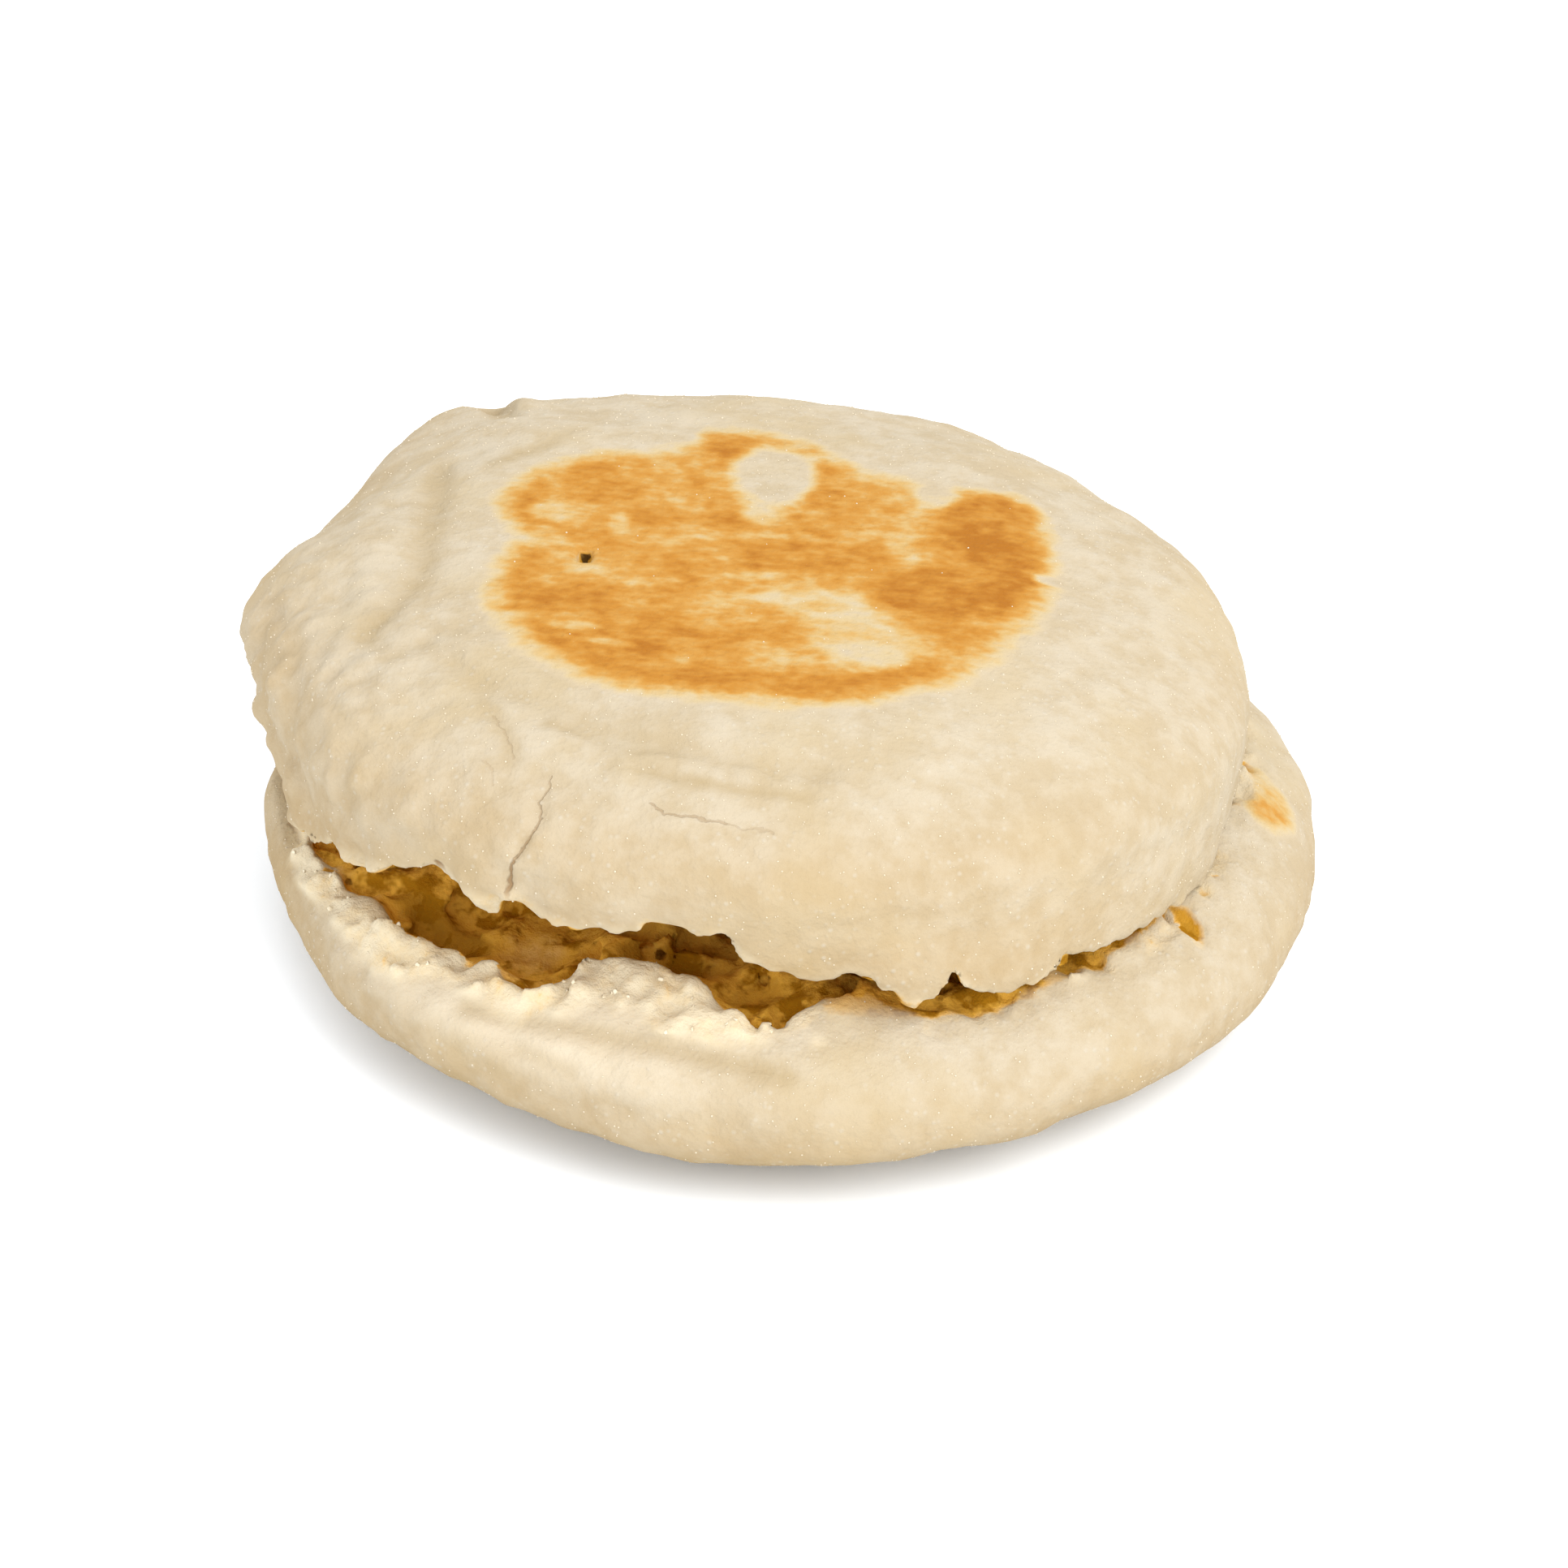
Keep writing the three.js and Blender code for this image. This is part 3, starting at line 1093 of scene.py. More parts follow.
    def creases(self, x: Array, y: Array, z: Array) -> Array:
        """Return how much painted shade each place takes from the grooves' creases.

        Args:
            x, y, z: Places in the half's axes.

        Returns:
            Shares from 0 to 1.
        """
        shade = np.zeros_like(x)
        for groove in self.grooves:
            if groove.shade > 0.0:
                reach = self.depths.crease_reach * groove.width
                gap = distance_to_path(x, y, z, groove.points)
                shade = np.maximum(shade, groove.shade * np.exp(-((gap / reach) ** 2)))
        return shade

    def dusted(self, azimuth: Array, z: Array) -> Array:
        """Return how much painted light lightens the crust at each place, 0 to 1."""
        return np.zeros_like(z)

    def lowness(self, azimuth: Array, z: Array) -> Array:
        """Return 1 low on the side of the half and 0 higher up."""
        return 1.0 - smooth_step(z, *self.low_from)


@dataclass
class Heel(BreadHalf):
    """The lower half, which stands on its griddled base."""

    shelf_spots: tuple[Tone, ...] = ()
    shelf_from: float = 8.0
    # painted light on the heel's front left shoulder, which lies in the crown's shade
    shoulder_light_spread: Swell = Swell(-32.0, 22.0, 0.8)
    shoulder_light_from: Span = (9.5, 12.5)
    # painted shade on the heel's left side
    left_shade: float = 0.35
    left_shade_from: Span = (45.0, 80.0)
    left_shade_to: Span = (100.0, 140.0)
    lid_margin: Span = (1.0, 2.0)
    lid_closed_from: Span = (2.0, 12.0)
    nothing: float = -50.0
    lid: Optional[BreadHalf] = None
    tops: Array = field(init=False)

    def field(self) -> Array:
        """Return the heel's field, and note its top for the crown to clear.

        Returns:
            One value for each lattice point.
        """
        values = super().field()
        inside = values < 0.0
        count = inside.shape[2] - np.argmax(inside[:, :, ::-1], axis=2)
        tops = self.lattice.low[2] + count * self.lattice.step
        self.tops = np.where(inside.any(axis=2), tops, self.nothing)
        return values

    def top_at(self, x: Array, y: Array) -> Array:
        """Return the height of the heel's top surface at each place in its plan.

        Args:
            x, y: Places in the heel's axes.

        Returns:
            Heights in the heel's axes.
        """
        grid = self.lattice
        i = np.clip(np.rint((x - grid.low[0]) / grid.step).astype(int), 0, grid.shape[0] - 1)
        j = np.clip(np.rint((y - grid.low[1]) / grid.step).astype(int), 0, grid.shape[1] - 1)
        return self.tops[i, j]

    def covered(self, x: Array, y: Array, z: Array) -> Array:
        """Find the crumb that lies under the lid where the seam is nearly closed, for painted shade.

        Args:
            x, y, z: Places in the heel's axes.

        Returns:
            Shares from 0 to 1, 1 where the crumb is covered and painted shade goes.
        """
        over = np.array(self.lid.place.inverted() @ self.place)
        lid_x, lid_y, _ = over[:3, :3] @ np.stack([x, y, z]) + over[:3, 3:]
        azimuth = azimuth_of(lid_x, lid_y)
        edge = self.lid.skin.radius(azimuth, self.lid.rim.height(azimuth), self.lid.outline.radius(azimuth))
        under = smooth_step(edge - np.hypot(lid_x, lid_y), *self.lid_margin)
        return under * smooth_step(azimuth_of(x, y), *self.lid_closed_from)

    def dusted(self, azimuth: Array, z: Array) -> Array:
        """Return painted light on the heel's front left shoulder, which lies in the crown's shade."""
        return self.shoulder_light_spread.value(azimuth) * smooth_step(z, *self.shoulder_light_from)

    def lowness(self, azimuth: Array, z: Array) -> Array:
        """Return the warmth of the heel's side, with painted shade added on its left."""
        left = smooth_step(-azimuth, *self.left_shade_from) * (1.0 - smooth_step(-azimuth, *self.left_shade_to))
        return np.minimum(super().lowness(azimuth, z) + self.left_shade * left, 1.0)

    def toasting(self, x: Array, y: Array, z: Array) -> Array:
        """Add the small golden spots on the shelf to the browned base.

        Args:
            x, y, z: Places in the half's axes.

        Returns:
            Levels as `Browning.level` gives them.
        """
        level = super().toasting(x, y, z)
        for spot in self.shelf_spots:
            level = np.where(z > self.shelf_from, level + spot.weight(x, y) * (spot.level - level), level)
        return level


@dataclass
class Crown(BreadHalf):
    """The upper half, which lies on the heel and is kept clear of it."""

    heel: Optional[Heel] = None
    clearance: float = 0.3
    contact_top: float = 9.0
    warm_edge: float = 0.3
    warm_edge_to: Span = (4.0, 9.0)
    warm_side: float = 0.5
    warm_side_to: Span = (12.5, 18.0)
    pale_right: float = 0.6
    pale_right_from: Span = (25.0, 60.0)

    def keep_clear(self, torn: Array) -> Array:
        """Lift the torn face clear of the heel's highest crumb.

        Args:
            torn: The torn face's field.

        Returns:
            A field that stays above the heel.
        """
        grid = self.lattice
        layers = int((self.contact_top - self.heights[0]) / grid.step)
        to_heel = np.array(self.heel.place.inverted() @ self.place)
        x, y, z = np.broadcast_arrays(grid.x, grid.y, grid.z[:, :, :layers])
        place = np.stack([x.ravel(), y.ravel(), z.ravel()], axis=1) @ to_heel[:3, :3].T + to_heel[:3, 3]
        top = self.heel.top_at(place[:, 0], place[:, 1]).reshape(x.shape)
        height = place[:, 2].reshape(x.shape)
        torn = np.array(torn)
        torn[:, :, :layers] = np.maximum(torn[:, :, :layers], top + self.clearance - height)
        return torn

    def lowness(self, azimuth: Array, z: Array) -> Array:
        """Return the warmth of the crown's side, strongest just above its torn edge.

        Args:
            azimuth: Azimuths in degrees.
            z: Heights in the crown's axes.

        Returns:
            Shares from 0 to 1.
        """
        edge = self.warm_edge * (1.0 - smooth_step(z, *self.warm_edge_to))
        side = self.warm_side * (1.0 - smooth_step(z, *self.warm_side_to))
        return (edge + side) * (1.0 - self.pale_right * smooth_step(azimuth, *self.pale_right_from))


HEEL_CENTRE = (1.15, 0.05, 0.0)
CROWN_OFFSET = (-4.1, 1.6, 14.7)
CROWN_FRONT_LIFT = 3.8
CROWN_LEFT_LIFT = 1.3
ALL_ROUND = -200.0
# path of the painted shadow line between the crown and the heel's left, carved as a groove and drawn as a
# crack
LEFT_SEAM_SHADOW = (
    (-46.2, 5.0, 11.2), (-45.8, -0.5, 11.9), (-45.4, -3.8, 12.1), (-44.8, -7.5, 12.2), (-43.9, -10.3, 12.1),
)


def heel_place() -> Matrix:
    """Return the heel's place in the frame, in millimetres."""
    return Matrix.Translation(HEEL_CENTRE)


def crown_place() -> Matrix:
    """Return the crown's tipped place in the frame.

    Returns:
        The crown's matrix, in millimetres.
    """
    tip = Matrix.Rotation(-math.radians(CROWN_FRONT_LIFT), 4, "X")
    lean = Matrix.Rotation(math.radians(CROWN_LEFT_LIFT), 4, "Y")
    return heel_place() @ Matrix.Translation(CROWN_OFFSET) @ tip @ lean


def make_heel() -> Heel:
    """Return the heel with its sizes.

    Returns:
        The heel, not yet built.
    """
    return Heel(
        node="bottom_half",
        slot="bottom_bread",
        side=Side.UP,
        outline=Outline(
            mean=46.9,
            waves=(Wave(1, 0.0, 0.12), Wave(2, -0.33, -0.05), Wave(3, 0.39, 0.0)),
            dents=(Swell(44, 22, -0.6), Swell(-88, 13, 0.5)),
        ),
        skin=Skin(waist=8.0, below=9.45, above=13.5, roundness=2.23, shoulder=2.3),
        rim=TornRim(
            points=(
                (-150.0, 13.5), (-130.0, 12.7), (-110.0, 12.0), (-92.0, 12.1), (-82.0, 12.5), (-76.0, 12.4),
                (-71.6, 12.5), (-66.0, 13.1), (-60.0, 14.0), (-53.0, 14.2), (-47.2, 14.4), (-42.5, 15.1),
                (-38.4, 15.3), (-33.0, 15.2), (-30.5, 15.5), (-29.7, 16.2), (-26.9, 16.9), (-22.6, 17.1),
                (-18.3, 17.3), (-13.6, 17.2), (-10.2, 17.0), (-6.3, 16.2), (-3.1, 15.7), (0.3, 15.8),
                (3.7, 16.6), (9.0, 16.7), (12.9, 16.4), (16.9, 16.2), (20.5, 16.0), (25.0, 15.6),
                (30.4, 15.5), (36.6, 16.1), (42.6, 15.9), (49.9, 16.0), (56.3, 16.0), (58.3, 15.2),
                (60.8, 16.1), (66.6, 16.4), (85.0, 16.5), (110.0, 15.2), (160.0, 14.3),
            ),
        ),
        crumb=CrumbFace(
            level=14.9,
            slope=0.045,
            rim_share=0.62,
            mounds=(Mound(17, -17, 13, 1.6), Mound(24, 12, 12, 1.1), Mound(-14, 22, 14, 1.0)),
        ),
        trough=Trough(
            swells=(Swell(-45, 16, 3.4), Swell(-14, 13, 3.8), Swell(-72, 8, 1.6), Swell(17, 6, 0.9)),
        ),
        flat=0.0,
        flat_rounding=0.5,
        # the last number of a hole, where given, is painted shade on its wall; negative ones take painted
        # shade away
        holes=(
            Hole((-30.2, -24.3, 14.9), 4.5, 0.95, 1.0),
            Hole((-32.8, -21.4, 14.4), 2.6, 1.0, 1.0),
            Hole((-25.4, -27.4, 15.4), 3.3, 0.8, 0.9),
            Hole((-21.2, -31.8, 16.8), 3.9, 1.0, -0.35),
            Hole((-22.0, -25.4, 13.6), 3.0, 1.0, -0.35),
            Hole((-21.0, -19.6, 13.2), 2.2, 1.0, 0.9),
            Hole((-12.5, -28.8, 15.6), 2.3, 1.0, 1.0),
            Hole((-8.6, -27.8, 14.2), 2.0, 1.0, 1.0),
            Hole((-3.0, -33.0, 15.3), 2.5, 1.0, 0.6),
            Hole((-2.0, -35.4, 16.0), 2.0, 0.8, 0.5),
            Hole((0.4, -33.4, 16.0), 1.5, 1.0, 0.9),
            Hole((4.2, -34.6, 16.5), 1.7, 0.9, 0.8),
            Hole((-39.5, -14.5, 13.9), 2.6, 0.7, 0.9),
            Hole((-36.6, -19.6, 14.8), 2.0, 0.8, 0.6),
            Hole((15.6, -35.2, 16.6), 1.5, 0.9, 0.5),
            Hole((18.6, -35.4, 16.2), 1.2, 0.9, 0.3),
            Hole((9.8, -37.0, 16.8), 0.8, 1.0, 0.5),
            Hole((24.6, -28.8, 16.6), 1.3, 1.0, 0.6),
            Hole((27.2, -28.7, 16.2), 1.2, 1.0, 0.3),
            Hole((34.5, -20.2, 16.3), 1.4, 1.0, 0.9),
            Hole((35.4, -21.4, 15.8), 1.4, 1.0, 1.0),
            Hole((36.4, -22.9, 15.3), 1.1, 1.0, 1.0),
            Hole((37.9, -11.8, 16.3), 0.6),
            Hole((37.8, -14.4, 16.1), 0.6),
            Hole((37.2, -17.2, 15.9), 0.6),
            Hole((22.4, -37.3, 13.8), 0.6),
            Hole((40.9, 2.9, 16.0), 0.6),
        ),
        # the last number of a groove, where given, is painted shade in its crease
        grooves=(
            Groove(LEFT_SEAM_SHADOW, 0.65, 1.5, 1.0),
            Groove(((-27.0, -35.4, 12.9), (-19.5, -38.8, 13.9), (-11.1, -41.4, 14.4), (0.6, -44.1, 13.5)),
                   0.9, 0.35, 0.5),
            Groove(((-22.2, -39.7, 12.0), (-17.9, -42.2, 11.5)), 0.7, 0.3, 0.4),
        ),
        # painted shadow line along the left seam, drawn as a crack
        cracks=(Crack(LEFT_SEAM_SHADOW, 0.35, 0.55),),
        peel=(Swell(-52, 13, 2.2), Swell(-29, 9, 2.2), Swell(-12, 8, 1.8), Swell(-70, 8, 1.2)),
        coarse=(Rough((-31.0, -33.0, 12.0), 12.0, 1.5),),
        browning=Browning(
            centre=(0.0, 0.0),
            edge=(
                (-150.0, 25.5), (-120.0, 27.0), (-60.0, 27.5), (-20.0, 26.0), (10.0, 24.5), (40.0, 26.5),
                (75.0, 25.0), (100.0, 23.5), (130.0, 26.5), (165.0, 27.5),
            ),
            tones=(
                Tone(4.0, -2.0, 9.0, 7.0, 1.05), Tone(-12.0, 9.0, 8.0, 6.0, 1.0),
                Tone(13.0, 12.0, 5.0, 3.0, 0.5), Tone(-6.0, -12.0, 7.0, 2.5, 0.45, 10.0),
                Tone(12.0, -12.0, 7.0, 7.0, 1.15), Tone(2.0, 6.0, 3.6, 2.8, 0.1),
            ),
        ),
        seed=410,
        place=heel_place(),
        heights=(-1.0, 20.0),
        tear_shade_from=(0.9, 2.6),
        light_balance_from=2.0,
        far_shade=0.35,
        shelf_spots=(
            Tone(42.6, -1.4, 2.8, 4.2, 0.46), Tone(43.2, -2.0, 1.3, 2.2, 0.6),
            Tone(41.5, 2.4, 1.4, 1.4, 0.3),
        ),
    )


def make_crown(heel: Heel) -> Crown:
    """Return the crown with its sizes, lying on the given heel.

    Args:
        heel: The heel that it lies on.

    Returns:
        The crown, not yet built.
    """
    return Crown(
        node="top_half",
        slot="top_bread",
        side=Side.DOWN,
        outline=Outline(
            mean=44.3,
            waves=(Wave(1, -0.95, -0.64), Wave(2, -0.45, 0.04), Wave(3, -0.16, 0.0), Wave(4, -0.22, -0.11)),
            dents=(
                Swell(-141, 20.6, 2.5), Swell(-140, 7, 1.7), Swell(-150, 3, -0.7), Swell(-118, 14, -1.7),
                Swell(-108, 9, -1.6), Swell(-93, 8, 0.7), Swell(150, 14, 0.7), Swell(88, 12, 0.5),
            ),
        ),
        skin=Skin(
            waist=9.4, below=24.0, above=12.5, roundness=2.4, shoulder=2.2,
            curls=(Swell(-56, 11, 30.0), Swell(-92, 24, -12.0)),
            leans=(Swell(28, 32, 1.3), Swell(88, 24, -0.4)),
            skirt_drop=8.0,
            skirt_from=(-5.0, 30.0),
            skirt_to=(75.0, 115.0),
        ),
        rim=TornRim(
            points=(
                (-150.0, 1.6), (-110.0, 2.4), (-90.0, 2.2), (-74.0, 1.7), (-66.0, 1.7), (-60.0, 1.9),
                (-58.0, 2.1), (-51.1, 4.3), (-44.3, 5.7), (-39.4, 6.7), (-35.4, 8.1), (-32.2, 6.7),
                (-29.6, 6.2), (-25.5, 7.5), (-23.5, 6.6), (-19.6, 6.4), (-14.8, 6.6), (-10.2, 6.9),
                (-5.5, 6.9), (-1.9, 7.8), (0.6, 5.8), (4.0, 4.0), (8.8, 2.9), (13.4, 3.1), (16.2, 2.0),
                (20.0, 1.1), (22.8, 0.7), (24.9, 3.7), (27.3, 2.0), (31.4, 0.6), (35.0, 1.0), (37.7, 1.9),
                (42.4, 1.7), (48.9, 1.4), (53.4, 1.6), (61.0, 1.1), (68.5, 1.1), (73.6, 1.1), (84.8, 0.6),
                (120.0, 1.5), (165.0, 1.5),
            ),
        ),
        crumb=CrumbFace(level=0.2, slope=0.0, rim_share=0.5),
        trough=Trough(swells=(Swell(-40, 22, 1.2), Swell(-5, 14, 1.0))),
        flat=20.2,
        flat_rounding=0.9,
        holes=(
            Hole((-22.0, -30.0, 5.0), 3.4, 0.7),
            Hole((-6.0, -32.0, 5.2), 3.0, 0.8),
            Hole((9.0, -29.0, 3.0), 2.6, 0.7),
            Hole((28.0, -22.0, 3.0), 2.4, 0.7),
            # painted shade darkens this pinhole's wall
            Hole((-15.8, -1.0, 20.1), 0.45, 2.2, 1.3),
            Hole((-15.75, -0.4, 20.1), 0.45, 2.2, 1.3),
            Hole((-15.7, 0.2, 20.1), 0.45, 2.2, 1.3),
        ),
        # the last number of a groove, where given, is painted shade in its crease
        grooves=(
            Groove(((-17.3, -27.5, 18.6), (-14.4, -28.8, 18.6), (-11.9, -30.0, 18.6), (-9.5, -31.0, 18.5)),
                   0.6, 0.38, 0.5),
            Groove(((-9.4, -33.1, 17.8), (-5.8, -33.9, 17.7), (-2.2, -34.5, 17.6), (1.4, -34.6, 17.5),
                    (5.0, -34.9, 17.3)), 0.6, 0.38, 0.5),
            Groove(((-9.5, -31.6, 18.3), (-4.2, -32.5, 18.3), (0.1, -32.6, 18.3)), 0.8, -0.3),
            Groove(((-8.0, -37.9, 15.6), (-4.8, -38.6, 15.3), (0.4, -39.0, 15.0)), 0.8, -0.22),
            Groove(((-23.3, -24.0, 18.5), (-22.2, -26.3, 18.1), (-20.9, -29.0, 17.6), (-20.1, -31.1, 17.0)),
                   0.8, 0.22, 0.35),
            Groove(((-29.8, 17.1, 18.3), (-29.7, 10.8, 19.0), (-29.8, 3.7, 19.6), (-29.9, -2.7, 19.5),
                    (-31.0, -6.7, 19.1), (-32.7, -9.8, 18.4), (-34.4, -12.5, 17.5)), 1.3, 0.9, 0.5),
            Groove(((-34.5, 12.0, 17.2), (-34.5, 2.0, 17.6), (-36.0, -7.0, 16.7)), 3.0, -0.55),
            Groove(((-26.2, 35.5, 15.0), (-25.4, 33.2, 16.9), (-24.9, 30.2, 18.0)), 1.2, 2.3, 0.55),
            Groove(((-25.5, 34.0, 16.6), (-24.7, 30.8, 17.8), (-24.0, 28.8, 18.4)), 0.7, 1.1, 0.6),
            Groove(((-23.0, 33.9, 17.4), (-20.8, 35.3, 17.3)), 2.4, -0.9),
            Groove(((-43.2, -12.6, 10.0), (-42.0, -16.4, 9.0), (-40.5, -19.5, 7.5), (-38.8, -23.0, 5.0)),
                   5.5, 1.8),
            Groove(((-29.0, -15.5, 18.3), (-23.0, -22.0, 18.6), (-17.5, -26.0, 18.6), (-9.5, -29.6, 18.5),
                    (-2.0, -31.8, 18.3), (5.5, -32.0, 18.2)), 1.5, 0.4, 0.2),
            Groove(((-18.1, 24.1, 20.0), (-20.2, 20.6, 20.1), (-22.4, 18.6, 19.9), (-24.6, 16.6, 19.6)),
                   0.9, 0.3, 0.4),
            Groove(((-17.1, -34.5, 16.1), (-17.7, -35.5, 15.4), (-17.4, -37.0, 14.5), (-18.7, -38.4, 12.4),
                    (-19.6, -38.8, 10.3), (-19.4, -38.9, 6.8)), 0.55, 0.5),
        ),
        cracks=(
            Crack(((-16.8, -33.4, 16.7), (-17.1, -34.5, 16.1), (-17.7, -35.5, 15.4), (-17.4, -37.0, 14.5)),
                  0.11, 0.3),
            Crack(((-17.4, -37.0, 14.5), (-18.0, -37.9, 13.4), (-18.7, -38.4, 12.4), (-19.2, -38.8, 11.3)),
                  0.13, 0.4),
            Crack(((-19.2, -38.8, 11.3), (-19.6, -38.8, 10.3), (-19.6, -38.9, 9.3), (-19.3, -39.0, 6.5)),
                  0.2, 0.6),
            Crack(((-8.2, -36.3, 16.5), (-7.6, -37.0, 16.2), (-6.9, -37.4, 16.0), (-5.3, -37.5, 16.1),
                   (-3.6, -37.7, 16.0), (-1.9, -37.9, 16.0)), 0.14, 0.3),
            Crack(((-1.9, -37.9, 16.0), (0.0, -38.2, 15.8), (2.1, -38.3, 15.6)), 0.12, 0.15),
            Crack(((-22.2, -26.3, 18.1), (-20.9, -29.0, 17.6), (-20.1, -31.1, 17.0)), 0.12, 0.15),
            Crack(((-22.6, -31.1, 16.4), (-21.8, -32.3, 16.0), (-21.6, -33.5, 15.5)), 0.12, 0.12),
            Crack(((-25.8, -35.6, 8.6), (-24.9, -36.1, 7.2), (-23.7, -36.7, 5.6)), 0.4, 0.9),
        ),
        peel=(Swell(-29, 5, 1.1),),
        coarse=(
            Rough((-43.0, -7.0, 9.0), 12.0, 5.0), Rough((-32.0, -28.0, 9.0), 12.0, 3.0),
            Rough((-18.5, -37.5, 8.5), 4.5, 4.0),
        ),
        browning=Browning(
            centre=(0.8, 1.5),
            edge=(
                (-178.0, 25.7), (-165.0, 26.0), (-160.0, 22.6), (-147.0, 21.8), (-140.0, 24.2),
                (-126.0, 25.6), (-110.0, 26.8), (-91.0, 22.8), (-72.0, 26.1), (-63.0, 27.5), (-49.0, 28.3),
                (-36.0, 28.4), (-14.0, 26.4), (6.0, 25.9), (22.0, 25.9), (40.0, 25.6), (64.0, 24.7),
                (88.0, 25.2), (110.0, 26.5), (121.0, 27.8), (127.0, 27.1), (132.0, 24.1), (136.0, 21.9),
                (141.0, 20.6), (156.0, 19.6), (166.0, 21.7),
            ),
            tones=(
                Tone(20.8, 11.1, 5.0, 7.0, 1.1), Tone(21.9, 3.2, 4.0, 5.0, 1.22),
                Tone(17.1, -1.0, 7.0, 3.6, 1.1), Tone(16.4, -4.8, 7.0, 2.4, 1.16, 8.0),
                Tone(3.6, 1.6, 7.5, 3.0, 1.02, 8.0), Tone(-18.8, -9.9, 6.0, 4.4, 1.0),
                Tone(-10.3, -14.6, 7.0, 4.4, 1.04, 4.0), Tone(-9.0, -19.2, 9.0, 2.6, 1.0, -14.0),
                Tone(1.3, -21.0, 11.0, 2.4, 1.0, 4.0), Tone(10.5, -19.6, 6.0, 2.0, 1.1, 20.0),
                Tone(-17.5, 13.3, 5.5, 3.6, 0.98), Tone(-4.0, 22.5, 3.5, 4.0, 0.92),
                Tone(4.9, 13.8, 1.8, 2.6, 1.05), Tone(-3.0, -9.9, 3.6, 5.2, 0.66),
                Tone(11.9, 12.2, 3.4, 3.4, 0.62), Tone(12.3, 6.0, 1.5, 5.6, 0.58),
                Tone(2.9, -15.0, 5.0, 1.9, 0.55, 8.0), Tone(5.6, -6.4, 5.8, 3.0, 0.34, -12.0),
                Tone(8.9, -11.9, 4.8, 4.0, 0.28, -16.0), Tone(10.2, -14.6, 3.2, 2.2, 0.1, -4.0),
                Tone(-1.0, -2.1, 3.0, 1.0, 0.5, 8.0), Tone(1.4, -5.8, 2.8, 1.0, 0.2, 4.0),
                Tone(-3.1, 4.9, 4.6, 0.8, 0.5, 8.0), Tone(-19.3, 7.4, 2.0, 1.8, 0.34),
                Tone(-13.0, 5.7, 1.0, 2.2, 0.35), Tone(-15.4, -2.4, 2.2, 2.0, 0.6),
                Tone(-8.1, 11.0, 1.2, 4.6, 0.68), Tone(-9.0, -4.2, 3.0, 0.8, 0.55, 12.0),
                Tone(-16.1, -13.2, 2.4, 0.8, 0.55), Tone(-13.0, -15.6, 2.4, 0.7, 0.5, -8.0),
                Tone(25.4, 1.8, 1.4, 0.9, 0.1), Tone(-0.1, 9.6, 2.2, 2.0, 0.28),
                Tone(0.6, 17.4, 3.7, 5.8, -0.4), Tone(15.3, 15.6, 2.0, 2.6, 0.0),
            ),
        ),
        seed=730,
        place=crown_place(),
        heights=(-4.0, 22.0),
        tear_shade_from=(0.0, 1.5),
        light_balance_from=ALL_ROUND,
        far_shade=0.0,
        heel=heel,
    )


# ---- Materials ----

Socket = bpy.types.NodeSocket


